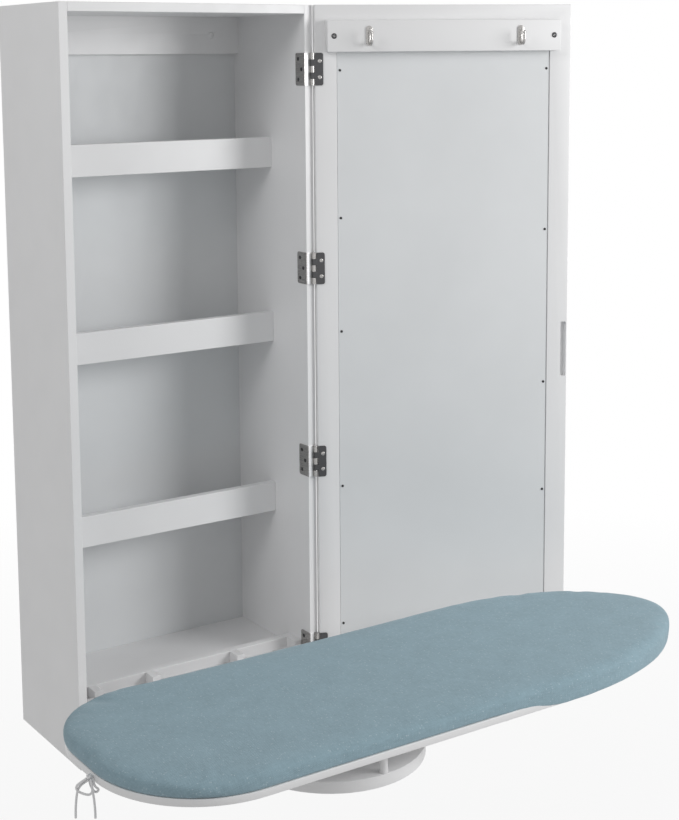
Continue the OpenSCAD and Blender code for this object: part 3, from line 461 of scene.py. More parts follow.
def screw_head(bm, at, axis, radius, height, slot_w, slot_depth, turn=0.0):
    """A domed head with a cross recess, standing on a face at a point."""
    spin = Vector(axis).normalized().to_track_quat("Z", "Y").to_matrix().to_4x4()
    place = Matrix.Translation(at) @ spin @ Matrix.Rotation(turn, 4, "Z")
    sides = 32
    dome = [(1.0, 0.0), (1.0, 0.3), (0.97, 0.62), (0.88, 0.85), (0.72, 1.0)]
    loops = [[bm.verts.new(place @ Vector((radius * r * c, radius * r * s, height * h)))
              for c, s in circle(sides)] for r, h in dome]
    faces = join_rings(bm, loops)
    faces.append(bm.faces.new(loops[0][::-1]))
    half, reach, floor = slot_w / 2, radius * 0.62, height - slot_depth
    arm = ((half, half), (half, reach), (-half, reach))
    cross = [(x * c - y * s, x * s + y * c) for c, s in circle(4) for x, y in arm]
    rim = [bm.verts.new(place @ Vector((x, y, height))) for x, y in cross]
    deep = [bm.verts.new(place @ Vector((x * 0.8, y * 0.8, floor))) for x, y in cross]
    faces += join_rings(bm, [rim, deep])
    faces.append(bm.faces.new(deep))
    edges = [bm.edges.get((ring[k], ring[(k + 1) % len(ring)]))
             for ring in (loops[-1], rim) for k in range(len(ring))]
    made = bmesh.ops.bridge_loops(bm, edges=edges)
    faces += made["faces"]
    bmesh.ops.recalc_face_normals(bm, faces=[f for f in faces if f.is_valid])


def smooth_path(points, steps):
    """A curve through the points, with steps between each two of them."""
    p = [Vector(q) for q in points]
    p = [p[0] * 2 - p[1]] + p + [p[-1] * 2 - p[-2]]
    path = []
    for i in range(1, len(p) - 2):
        for k in range(steps):
            t = k / steps
            a, b, c, d = p[i - 1], p[i], p[i + 1], p[i + 2]
            path.append(0.5 * (2 * b + (c - a) * t + (2 * a - 5 * b + 4 * c - d) * t * t
                               + (3 * b - a - 3 * c + d) * t ** 3))
    return path + [p[-2]]


def sweep(bm, path, radii, sides=16, closed=False):
    """A tube along a path, with one radius or one for each point."""
    n = len(path)
    radii = radii if hasattr(radii, "__len__") else [radii] * n
    loops, ex = [], None
    for i, p in enumerate(path):
        before = path[i - 1] if (i or closed) else path[0]
        after = path[(i + 1) % n] if (i < n - 1 or closed) else path[-1]
        d = (after - before).normalized()
        if ex is None:
            ex = d.orthogonal().normalized()
        ex = (ex - d * ex.dot(d)).normalized()
        ey = d.cross(ex)
        loops.append([bm.verts.new(p + radii[i] * (c * ex + s * ey))
                      for c, s in circle(sides)])
    faces = join_rings(bm, loops)
    if closed:
        last, first = loops[-1], loops[0]
        shift = min(range(sides), key=lambda s: (last[0].co - first[s].co).length)
        faces += join_rings(bm, [last, first[shift:] + first[:shift]])
    else:
        faces += [bm.faces.new(loops[0][::-1]), bm.faces.new(loops[-1])]
    bmesh.ops.recalc_face_normals(bm, faces=faces)


# Outline of the board round the swivel axis, as corner centre, radii and angle

NOSE, TAIL = 0.525, 0.313
NEAR_W, NEAR_R, NEAR_TAPER = 0.144, 0.138, 0.275
FAR_W, FAR_R, FAR_TAPER = 0.148, 0.103, 0.250


def rim_points():
    def arc(cx, cy, rx, ry, a0, a1):
        n = max(2, round(math.radians(abs(a1 - a0)) * (abs(rx) + abs(ry)) / 2 / RIM_STEP))
        return [(cx, cy, rx, ry, a0 + (a1 - a0) * k / n) for k in range(n)]

    def run(x0, y0, x1, y1):
        n = max(1, round(math.hypot(x1 - x0, y1 - y0) / RIM_STEP))
        points = []
        for k in range(n):
            x, y = x0 + (x1 - x0) * k / n, y0 + (y1 - y0) * k / n
            if abs(y1 - y0) < 1e-9:
                points.append((x, 0.0, 0.0, abs(y), 90.0 if y > 0 else 270.0))
            else:
                points.append((0.0, y, abs(x), 0.0, 180.0))
        return points

    near_x, far_x = NOSE - NEAR_TAPER, NOSE - FAR_TAPER
    return (arc(near_x, 0, NEAR_TAPER, NEAR_W, -90, 0) + arc(far_x, 0, FAR_TAPER, FAR_W, 0, 90)
            + run(far_x, FAR_W, FAR_R - TAIL, FAR_W)
            + arc(FAR_R - TAIL, FAR_W - FAR_R, FAR_R, FAR_R, 90, 180)
            + run(-TAIL, FAR_W - FAR_R, -TAIL, NEAR_R - NEAR_W)
            + arc(NEAR_R - TAIL, NEAR_R - NEAR_W, NEAR_R, NEAR_R, 180, 270)
            + run(NEAR_R - TAIL, -NEAR_W, near_x, -NEAR_W))


def at_rim(point, inset):
    cx, cy, rx, ry, angle = point
    a = math.radians(angle)
    c, s = math.cos(a), math.sin(a)
    return (cx + (rx - inset) * c if rx else cx, cy + (ry - inset) * s if ry else cy)


def register_materials(scene):
    cabinet, door = scene.cabinet_look, scene.door_look
    board, steel = scene.board_look, scene.steel_look
    for group in (group_paint, group_edge, group_brush, group_weave):
        group()
    painted("white_paint", cabinet.paint)
    painted("hardboard", cabinet.panel, cloud=0.9, rough=(0.42, 0.58), worn=0.1)
    painted("powder_coat", steel.powder, cloud=0.4, rough=(0.38, 0.5), worn=0.5)
    painted("black_steel", (0.022, 0.022, 0.024), cloud=0.3, rough=(0.3, 0.45), worn=0.8)
    metal("nickel", door.nickel)
    # Shaded copy of the nickel: a painted dark reflection and shade for the hinges' door leaves
    # and the darker screw heads
    metal("nickel_painted_dark_reflection", (0.085, 0.085, 0.088), (0.3, 0.45))
    # Lit copy of the nickel: a painted highlight for the hinge wraps over the case's front edge
    metal("bright_nickel", (0.92, 0.92, 0.93), (0.3, 0.42), metallic=0.25)
    metal("zinc_steel", steel.zinc, rough=(0.28, 0.44), stretch=(30.0, 1.0, 1.0))
    cloth_material(board)
    cord_material()
    mirror_material()


# Pieces

def set_camera(context, look):
    lens = bpy.data.cameras.new("camera")
    lens.sensor_width = SENSOR_MM
    lens.lens = SENSOR_MM * FOCAL_PX / PHOTO_H_PX
    lens.shift_x, lens.shift_y = (shift / PHOTO_H_PX for shift in SHIFT_PX)
    holder = show("camera", lens)
    yaw, pitch, roll = (math.radians(a) for a in (33.41, 7.42, -0.48))
    holder.matrix_world = (Matrix.Translation(look.camera_at)
                           @ Matrix.Rotation(-yaw, 4, "Z")
                           @ Matrix.Rotation(math.pi / 2 - pitch, 4, "X")
                           @ Matrix.Rotation(roll, 4, "Z"))
    context.scene.camera = holder


def set_surroundings(context, look):
    world = context.scene.world or bpy.data.worlds.new("studio")
    context.scene.world = world
    world.use_nodes = True
    w = Wires(world.node_tree)
    world.node_tree.nodes.clear()
    ray = w.add("ShaderNodeLightPath").outputs
    seen = w.math("MAXIMUM", w.math("MAXIMUM", ray["Is Camera Ray"], ray["Is Glossy Ray"]),
                  ray["Is Transmission Ray"])
    strength = w.span(seen, 0, 1, look.sky, 1.0)
    light = w.add("ShaderNodeBackground", {"Color": (1, 1, 1, 1), "Strength": strength})
    w.add("ShaderNodeOutputWorld", {"Surface": light})


def lay_floor(look):
    bm = bmesh.new()
    bmesh.ops.create_circle(bm, cap_ends=True, segments=96, radius=4.0)
    material = bpy.data.materials.new("floor")
    material.use_nodes = True
    material.node_tree.nodes.clear()
    w = Wires(material.node_tree)
    place = object_place(w)
    away = w.add("ShaderNodeVectorMath", {0: place}, operation="LENGTH").outputs["Value"]
    fade = w.span(away, 1.0, 3.2)
    grain = w.noise(300.0, 2.0, place)
    tone = w.mix(grain, (0.90, 0.90, 0.90, 1), (0.94, 0.94, 0.94, 1))
    ray = w.add("ShaderNodeLightPath").outputs
    matt = w.add("ShaderNodeBsdfDiffuse", {"Color": tone})
    glow = w.add("ShaderNodeEmission", {"Color": (1, 1, 1, 1), "Strength": 1.0})
    clear = w.add("ShaderNodeBsdfTransparent")
    seen = w.math("MAXIMUM", ray["Is Camera Ray"], ray["Is Glossy Ray"])
    lit = w.add("ShaderNodeMixShader", {0: w.times(seen, 0.86), 1: matt, 2: glow})
    faded = w.add("ShaderNodeMixShader", {0: fade, 1: lit, 2: clear})
    w.add("ShaderNodeOutputMaterial", {"Surface": faded})
    mesh = to_mesh("floor", bm)
    mesh.materials.append(material)
    floor = show("floor", mesh)
    floor.location = (0.0, -0.4, FOOT_Z - look.floor_drop)


class StageOperator(bpy.types.Operator):
    """Set the camera, the floor, the white surroundings and the studio lamps"""
    bl_idname = "cabinet.stage"
    bl_label = "Stage"

    def execute(self, context):
        look = context.scene.stage_look
        set_camera(context, look)
        set_surroundings(context, look)
        lay_floor(look)
        lamps = [("key", look.key, (1.35, -1.75, 0.10), (0.15, -0.15, -0.45), 0.9),
                 ("side", look.side, (-1.7, -0.9, 0.9), (0.0, -0.2, -0.5), 0.9)]
        for name, power, at, aim, size in lamps:
            lamp = bpy.data.lights.new("lamp_" + name, "AREA")
            lamp.energy, lamp.shape, lamp.size = power, "DISK", size
            holder = show("lamp_" + name, lamp)
            holder.location = at
            holder.rotation_euler = (Vector(aim) - Vector(at)).to_track_quat("-Z", "Y").to_euler()
        context.scene.view_settings.view_transform = "Standard"
        return {"FINISHED"}


CORD_R = 0.0013
KNOT = (-0.316, -0.007, 0.007)
CORD_ROUTES = {
    "left_loop": [
        (-318.6, -5.2, 4.8), (-321, -3.5, 2.5), (-324.5, -1, -0.5), (-327, 1, -3.5),
        (-327.8, 1.5, -6.6), (-326.3, 0.5, -9.8), (-322.6, -1.9, -12.4), (-317.6, -5.3, -14),
        (-314.6, -7.5, -12.3), (-313.6, -8.3, -8), (-314.2, -8.2, -1.5), (-315.5, -8.3, 3.3)],
    "right_loop": [
        (-313.4, -9.2, 5), (-313, -10.6, 0.5), (-311, -11.3, -4.5), (-307.8, -11.3, -8),
        (-308.3, -8.5, -11.8), (-309.5, -4.5, -12.8), (-311, -1, -9.5), (-312.5, -0.2, -4.5),
        (-313.8, -2, 0.5), (-314.3, -4.3, 4.2)],
    "left_tail": [
        (-316.6, -6.4, 3), (-319, -2.2, -0.5), (-322.5, 1.8, -5), (-325, 4, -10.5),
        (-326.2, 4.6, -16.5), (-327, 5, -24), (-327.6, 5.3, -32), (-327.8, 5.4, -42)],
    "right_tail": [
        (-316.5, -10.6, 5.5), (-315.6, -11.6, -0.5), (-314.8, -11.6, -8),
        (-313.8, -11.9, -16), (-313.2, -12.2, -24), (-312.8, -12.4, -32),
        (-312.8, -12.4, -39)],
}


class DrawstringOperator(bpy.types.Operator):
    """Tie the cover's drawstring in its bow, with two loops and two hanging tails"""
    bl_idname = "cabinet.drawstring"
    bl_label = "Drawstring"

    def execute(self, context):
        origin = Vector((0, SWIVEL_Y, CORE_LOW))
        middle = origin + Vector(KNOT)
        turns = []
        for k in range(72):
            a = math.tau * k / 72
            ring = 1.75 + 0.75 * math.cos(3 * a)
            turns.append(middle + Vector((ring * math.cos(2 * a), ring * math.sin(2 * a),
                                          1.05 * math.sin(3 * a) * 1.2)) * MM)
        bm = bmesh.new()
        sweep(bm, turns, 0.00125, sides=12, closed=True)
        knot = put("drawstring_knot_wrap", bm, "cord", "board", ("drawstring_knot",), 1.2)
        for name, route in CORD_ROUTES.items():
            path = smooth_path([origin + Vector(p) * MM for p in route], 3)
            data = bpy.data.curves.new("drawstring_" + name, "CURVE")
            data.dimensions = "3D"
            data.bevel_depth = CORD_R
            data.bevel_resolution = 3
            data.use_fill_caps = True
            line = data.splines.new("POLY")
            line.points.add(len(path) - 1)
            for point, at in zip(line.points, path):
                point.co = (*at, 1.0)
            data.materials.append(MATERIALS["cord"])
            piece = show("drawstring_%s_cord" % name, data)
            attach(piece, "board")
            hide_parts("drawstring_" + name)
        return {"FINISHED"}


WALL_SCREW_X = 0.128
CASE_BOARDS = ("left_side", "right_side", "top_panel", "bottom_panel", "mounting_rail",
               "lower_rear_rail")
SHELF_BOARDS = ("upper_shelf", "middle_shelf", "lower_shelf", "upper_shelf_lip",
                "middle_shelf_lip", "lower_shelf_lip")
TRAY_BOARDS = ("tray_deck", "tray_front_board", "tray_rear_rail", "tray_left_end",
               "tray_right_end", "tray_left_divider", "tray_right_divider")


class CaseOperator(bpy.types.Operator):
    """Round the edges of the case boards, paint them and cap the two wall screws"""
    bl_idname = "cabinet.case"
    bl_label = "Case"

    def execute(self, context):
        ease_boards(CASE_BOARDS)
        eased("back_panel", 0.0002, "hardboard", "case")
        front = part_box("mounting_rail")[0].y
        for side, x in (("left", -WALL_SCREW_X), ("right", WALL_SCREW_X)):
            bm = bmesh.new()
            drum(bm, (x, front, 0), (x, front + 0.004, 0), 0.0025, 32, "Y")
            dome = [(0.0048, 0.0), (0.0048, -0.0003), (0.0044, -0.0007), (0.0030, -0.0010)]
            loops = [[bm.verts.new((x + r * c, front + y, r * s)) for c, s in circle(40)]
                     for r, y in dome]
            join_rings(bm, loops)
            bm.faces.new(loops[0])
            bm.faces.new(loops[-1][::-1])
            bmesh.ops.recalc_face_normals(bm, faces=bm.faces)
            put(side + "_wall_screw_cap", bm, "white_paint", "case", smooth=0.9)
        return {"FINISHED"}


class ShelfOperator(bpy.types.Operator):
    """Round the edges of the shelves and their lips and paint them"""
    bl_idname = "cabinet.shelves"
    bl_label = "Shelves"

    def execute(self, context):
        ease_boards(SHELF_BOARDS)
        return {"FINISHED"}


class TrayOperator(bpy.types.Operator):
    """Round the edges of the tray's boards and paint them"""
    bl_idname = "cabinet.tray"
    bl_label = "Tray"

    def execute(self, context):
        ease_boards(TRAY_BOARDS)
        return {"FINISHED"}


# The door frame's section, as distance from its outer edge and height over its inner face
DOOR_SECTION = ((0.0, 0.0), (DOOR_BORDER, 0.0), (DOOR_BORDER, -PANEL_BACK),
                (MIRROR_EDGE, -PANEL_BACK), (MIRROR_EDGE, -MIRROR_FRONT),
                (FACE_W, -MIRROR_FRONT), (FACE_W, -DOOR_T), (0.0, -DOOR_T))


def cut_finger_pull(context, piece):
    middle, half, deep = FOOT_Z + 0.503, 0.0395, DOOR_INNER_Y - 0.006
    outline = rounded_rect(DOOR_FREE_X + 0.0016, DOOR_FREE_X + 0.0096, middle - half,
                           middle + half, [0.0016] * 4, 4)
    bm = slab(outline, deep, DOOR_INNER_Y + 0.004, axis="Y")
    bottom = [e for e in bm.edges if all(abs(v.co.y - deep) < 1e-6 for v in e.verts)]
    bmesh.ops.bevel(bm, geom=bottom, offset=0.0014, segments=3, affect="EDGES")
    mesh = to_mesh("finger_cut", bm)
    mesh.transform(ON_DOOR)
    cutter = show("finger_cut", mesh)
    cut = piece.modifiers.new("finger_cut", "BOOLEAN")
    cut.operation, cut.object, cut.solver = "DIFFERENCE", cutter, "EXACT"
    context.view_layer.update()
    shaped = evaluated_mesh(piece)
    piece.modifiers.clear()
    piece.data = shaped
    shaped.set_sharp_from_angle(angle=0.38)
    bpy.data.objects.remove(cutter)


class DoorFrameOperator(bpy.types.Operator):
    """Sweep the door frame round in one run with a finger pull, as it looks once painted"""
    bl_idname = "cabinet.door_frame"
    bl_label = "Door frame"

    def execute(self, context):
        low, high = FOOT_Z, FOOT_Z + DOOR_H
        corners = [(DOOR_FREE_X, low, 1, 1), (DOOR_HINGE_X, low, -1, 1),
                   (DOOR_HINGE_X, high, -1, -1), (DOOR_FREE_X, high, 1, -1)]
        bm = bmesh.new()
        loops = [[bm.verts.new((x + sx * d, DOOR_INNER_Y + h, z + sz * d))
                  for d, h in DOOR_SECTION] for x, z, sx, sz in corners]
        join_rings(bm, loops, True)
        bmesh.ops.recalc_face_normals(bm, faces=bm.faces)
        round_edges(bm, context.scene.cabinet_look.edge_radius, 3)
        piece = put("door_frame_painted", bm, "white_paint", "door",
                    ("door_free_stile", "door_hinge_stile", "door_top_rail",
                     "door_bottom_rail"))
        cut_finger_pull(context, piece)
        return {"FINISHED"}


PANEL_SCREWS_HINGE = (0.089, 0.293, 0.453, 0.676, 0.879)
PANEL_SCREWS_FREE = (0.089, 0.317, 0.539, 0.699, 0.899)


class DoorPanelOperator(bpy.types.Operator):
    """Lay the hardboard into the back of the door and drive its small black screws"""
    bl_idname = "cabinet.door_panel"
    bl_label = "Door panel"

    def execute(self, context):
        gap = 0.0005
        x0, x1 = DOOR_FREE_X + DOOR_BORDER + gap, DOOR_HINGE_X - DOOR_BORDER - gap
        z0, z1 = FOOT_Z + DOOR_BORDER + gap, FOOT_Z + DOOR_H - DOOR_BORDER - gap
        face = DOOR_INNER_Y - 0.0012
        bm = box_bm((x0, face - 0.003, z0), (x1, face, z1))
        round_edges(bm, 0.0003)
        put("door_hardboard_back", bm, "hardboard", "door", ("door_back_panel",))
        top = FOOT_Z + DOOR_H
        bm = bmesh.new()
        places = [(DOOR_HINGE_X - PANEL_SCREW_IN, top - d * DOOR_H) for d in PANEL_SCREWS_HINGE]
        places += [(DOOR_FREE_X + PANEL_SCREW_IN, top - d * DOOR_H) for d in PANEL_SCREWS_FREE]
        for k, (x, z) in enumerate(places):
            screw_head(bm, (x, face, z), (0, 1, 0), 0.0018, 0.0008, 0.0005, 0.00045, k * 0.7)
            drum(bm, (x, face - 0.0028, z), (x, face + 0.0002, z), 0.0010, 12, "Y")
        put("door_panel_screw_heads", bm, "black_steel", "door", ("door_panel_screws",), 0.6)
        return {"FINISHED"}


class MirrorOperator(bpy.types.Operator):
    """Set the mirror with its ground edges into the front of the door"""
    bl_idname = "cabinet.mirror"
    bl_label = "Mirror"

    def execute(self, context):
        back, front = DOOR_INNER_Y - PANEL_BACK, DOOR_INNER_Y - MIRROR_FRONT
        bm = box_bm((DOOR_FREE_X + MIRROR_EDGE, front, FOOT_Z + MIRROR_EDGE),
                    (DOOR_HINGE_X - MIRROR_EDGE, back, FOOT_Z + DOOR_H - MIRROR_EDGE))
        round_edges(bm, context.scene.door_look.mirror_arris, 1)
        put("mirror_pane", bm, "mirror_glass", "door", ("mirror_glass",))
        return {"FINISHED"}


RAIL_X0, RAIL_X1 = -0.1655, 0.1645
RAIL_LOW = FOOT_Z + 0.9265
RAIL_MID = RAIL_LOW + 0.02125
RAIL_FACE = DOOR_INNER_Y + 0.015


def form_hook(node, x):
    """A rounded plate with a screw, and a wire that runs out and up to a ball."""
    bm = slab(rounded_rect(x - 0.0045, x + 0.0045, RAIL_MID - 0.0135, RAIL_MID + 0.0135,
                           [0.0045] * 4, 10), RAIL_FACE, RAIL_FACE + 0.0015, axis="Y")
    round_edges(bm, 0.0004)
    mid, wire, throat = RAIL_MID, 0.0017, 0.014
    root = RAIL_FACE + wire + 0.0001
    turn_z = mid - 0.0135 + throat / 2 + wire
    path = [Vector((x, root, turn_z + 0.006)), Vector((x, root, turn_z + 0.003))]
    path += [Vector((x, root + throat / 2 - throat / 2 * math.cos(math.pi * k / 20),
                     turn_z - throat / 2 * math.sin(math.pi * k / 20))) for k in range(21)]
    path += [Vector((x, root + throat + 0.0006 * k / 4, turn_z + 0.009 * k / 4))
             for k in range(1, 5)]
    radii = [wire * 0.8, wire] + [wire * (1.0 - 0.004 * k) for k in range(21)]
    radii += [wire * 0.92] * 4
    sweep(bm, path, radii, 20)
    bmesh.ops.create_uvsphere(bm, u_segments=24, v_segments=16, radius=wire + 0.0006,
                              matrix=Matrix.Translation((x, root + throat,
                                                         turn_z + 0.009)))
    screw_head(bm, (x, RAIL_FACE + 0.0014, mid + 0.0082), (0, 1, 0), 0.0026, 0.0011, 0.0008,
               0.0008, 0.5)
    put(node + "_formed", bm, "nickel", "door", (node,), 0.7)


class CoatRailOperator(bpy.types.Operator):
    """Fit the coat rail inside the door with its two screws and its two hooks"""
    bl_idname = "cabinet.coat_rail"
    bl_label = "Coat rail"

    def execute(self, context):
        bm = box_bm((RAIL_X0, DOOR_INNER_Y, RAIL_LOW), (RAIL_X1, RAIL_FACE, RAIL_LOW + 0.0425))
        round_edges(bm, 0.0011, 3)
        put("coat_rail_painted", bm, "white_paint", "door", ("coat_rail",))
        bm = bmesh.new()
        for k, x in enumerate((RAIL_X0 + 0.0095, RAIL_X1 - 0.0095)):
            screw_head(bm, (x, RAIL_FACE - 0.0004, RAIL_MID), (0, 1, 0), 0.0038, 0.0014, 0.0011,
                       0.0011, 0.4 + k)
        # The rail's screw heads get the nickel with a painted dark reflection
        put("coat_rail_screw_heads", bm, "nickel_painted_dark_reflection", "door", ("coat_rail_screws",), 0.6)
        form_hook("left_coat_hook", 0.1065)
        form_hook("right_coat_hook", -0.1075)
        return {"FINISHED"}


HINGE_H, LEAF_T, BARREL_R = 0.044, 0.0012, 0.003
HINGE_HEIGHTS = [FOOT_Z + 0.0863 + k * 0.2724667 for k in range(4)]
CASE_INNER_X, CASE_FRONT_Y = 0.173, -0.192
BARREL_SIDE, BARREL_ROOT = HINGE_X - BARREL_R - 0.0003, HINGE_X - 0.0004
LEAF_SCREW = (0.0026, 0.0007, 0.0008, 0.00055)  # radius, height, slot width, slot depth


class HingeOperator(bpy.types.Operator):
    """Form the four wrapped butt hinges with rolled knuckles, pins and cross-head screws"""
    bl_idname = "cabinet.door_hinges"
    bl_label = "Door hinges"

    def execute(self, context):
        radius = context.scene.door_look.leaf_radius
        case_leaf, wraps, door_leaf, pins, case_screws, door_screws = (
            bmesh.new() for _ in range(6))
        knuckle = HINGE_H / 5
        for n, z in enumerate(HINGE_HEIGHTS):
            low, high = z - HINGE_H / 2, z + HINGE_H / 2
            inner = CASE_INNER_X - LEAF_T
            slab(rounded_rect(CASE_FRONT_Y - LEAF_T, CASE_FRONT_Y + 0.022, low, high,
                              [0, radius, radius, 0]), inner, CASE_INNER_X, case_leaf, "X")
            box_bm((inner + LEAF_T, CASE_FRONT_Y - LEAF_T, low),
                   (BARREL_SIDE, CASE_FRONT_Y, high), wraps)
            slab(rounded_rect(DOOR_HINGE_X - 0.011, DOOR_HINGE_X + 0.0003, low, high,
                              [radius, 0, 0, radius]), DOOR_INNER_Y, DOOR_INNER_Y + LEAF_T,
                 door_leaf, "Y")
            for k in range(5):
                own = case_leaf if k % 2 == 0 else door_leaf
                gap = 0.0 if k % 2 == 0 else 0.0003
                z0, z1 = low + k * knuckle + gap, low + (k + 1) * knuckle - gap
                drum(own, (HINGE_X, HINGE_Y, z0), (HINGE_X, HINGE_Y, z1), BARREL_R, 40,
                     hole=0.0016)
                if k % 2 == 0:
                    box_bm((BARREL_SIDE, HINGE_Y + 0.0018, z0), (BARREL_ROOT, CASE_FRONT_Y, z1),
                           case_leaf)
                else:
                    box_bm((DOOR_HINGE_X, DOOR_INNER_Y, z0),
                           (BARREL_ROOT, DOOR_INNER_Y + LEAF_T, z1), door_leaf)
            drum(pins, (HINGE_X, HINGE_Y, low + 0.0001), (HINGE_X, HINGE_Y, high - 0.0001),
                 0.00155, 28)
            for k, y in ((-1, 0.015), (0, 0.007), (1, 0.015)):
                screw_head(case_screws, (inner + 0.0001, CASE_FRONT_Y + y, z + k * 0.01408),
                           (-1, 0, 0), *LEAF_SCREW, n + k)
            for k in (-1, 1):
                screw_head(door_screws, (DOOR_HINGE_X - 0.00605, DOOR_INNER_Y + LEAF_T - 0.0001,
                                         z + k * 0.011), (0, 1, 0), *LEAF_SCREW, 1.3 * n + k)
        for bm in (case_leaf, wraps, door_leaf, pins):
            round_edges(bm, 0.00025)
        # The wraps get the nickel with a painted highlight
        put("case_hinge_wraps", wraps, "bright_nickel", "case")
        put("case_hinge_leaves", case_leaf, "nickel", "case", ("door_hinge_case_leaves",))
        # The door leaves get the nickel with a painted dark reflection
        put("door_hinge_leaves", door_leaf, "nickel_painted_dark_reflection", "door", ("door_hinge_door_leaves",))
        put("door_hinge_pin_rods", pins, "zinc_steel", "case", ("door_hinge_pins",))
        # The case leaf screws get the nickel with a painted dark reflection
        put("case_leaf_screw_heads", case_screws, "nickel_painted_dark_reflection", "case", ("case_leaf_screws",),
            0.6)
        put("door_leaf_screw_heads", door_screws, "nickel", "door", ("door_leaf_screws",), 0.6)
        return {"FINISHED"}


class SupportOperator(bpy.types.Operator):
    """Finish the steel support frame, its fold hinges, its stay and the stay's ledge"""
    bl_idname = "cabinet.support"
    bl_label = "Board support"

    def execute(self, context):
        for node, radius, material, body in (
                ("support_frame", 0.0006, "powder_coat", "support"),
                ("stay_ledge", 0.0003, "powder_coat", "case"),
                ("stay_rod", 0.0004, "zinc_steel", "stay"),
                ("fold_hinge_fixed_leaves", 0.0003, "nickel", "case"),
                ("fold_hinge_moving_leaves", 0.0003, "nickel", "support"),
                ("fold_hinge_pins", 0.0003, "zinc_steel", "case"),
                ("ledge_screws", 0.0002, "zinc_steel", "case"),
                ("fold_hinge_screws", 0.0002, "nickel", "case")):
            eased(node, radius, material, body)
        return {"FINISHED"}


class TurntableOperator(bpy.types.Operator):
    """Finish the turntable: its disc, pegs, bearing ring, bolt, washer and nut"""
    bl_idname = "cabinet.turntable"
    bl_label = "Turntable"

    def execute(self, context):
        low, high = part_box("turntable_disc")
        bm = bmesh.new()
        drum(bm, (0, SWIVEL_Y, low.z), (0, SWIVEL_Y, high.z), 0.113, 160, hole=0.00505)
        round_edges(bm, 0.0012, 3)
        put("turntable_disc_turned", bm, "white_paint", "board", ("turntable_disc",), 0.3)
        eased("spacer_pegs", 0.0004, "white_paint", "board")
        for node, radius, body in (
                ("peg_screws", 0.0002, "board"), ("bearing_ring", 0.0003, "support"),
                ("swivel_bolt", 0.0006, "support"), ("swivel_washer", 0.0003, "support"),
                ("swivel_nut", 0.0007, "support"), ("edge_bracket", 0.0004, "board")):
            eased(node, radius, "zinc_steel", body)
        return {"FINISHED"}


def nose_share(x):
    """0 where the cover stops on top of the board, 1 where it is pulled down over its edge."""
    t = min(1.0, max(0.0, (x - 0.155) / 0.092))
    return t * t * (3 - 2 * t)


def nose_pull(x):
    """How far the stuffed cover stands out past the board towards the tip of the nose."""
    return 0.010 * min(1.0, max(0.0, (x - 0.455) / 0.07)) ** 2


class BoardOperator(bpy.types.Operator):
    """Shape the wooden board with its rounded rim"""
    bl_idname = "cabinet.board"
    bl_label = "Board"

    def execute(self, context):
        rim = rim_points()
        outline = [(x, y + SWIVEL_Y) for x, y in (at_rim(p, 0.0016) for p in rim)]
        bm = slab(outline, CORE_LOW, CORE_TOP)
        round_edges(bm, 0.0015, 3)
        put("ironing_board_shaped", bm, "white_paint", "board", ("ironing_board",), 0.3)
        return {"FINISHED"}


COVER_PROFILE = ((0.1, 5.0), (0, 9.8), (0.9, 13.6), (2.9, 16.1), (7, 17.6), (14, 18.2))
TOP_RING = 2 + 6 + len(COVER_PROFILE) - 1  # after two rings underneath and six round the hem
SPINE_STEP = 0.0104  # both halves of the cover meet at these steps of the middle line
UNDER_Z = 0.00003
HEM_IN, TUCK_IN = (0.0035, 0.0009), (0.0050, 0.0015)  # each at the tail and at the nose
BULGE_IN, BULGE_Z = (0.0012, 0.0004), (0.0020, -0.0035)
CLOTH_STEPS = 16
CLOTH = {"quality": 6, "mass": 0.25, "tension_stiffness": 18, "compression_stiffness": 18,
         "bending_stiffness": 0.6, "vertex_group_mass": "hem", "use_pressure": True,
         "uniform_pressure_force": 1.2, "shrink_min": -0.004}
COVER_INNER = ((0.15, 18.5), (0.32, 18.75), (0.5, 18.9), (0.68, 19.0), (0.85, 19.0),
               (1.0, 19.0))


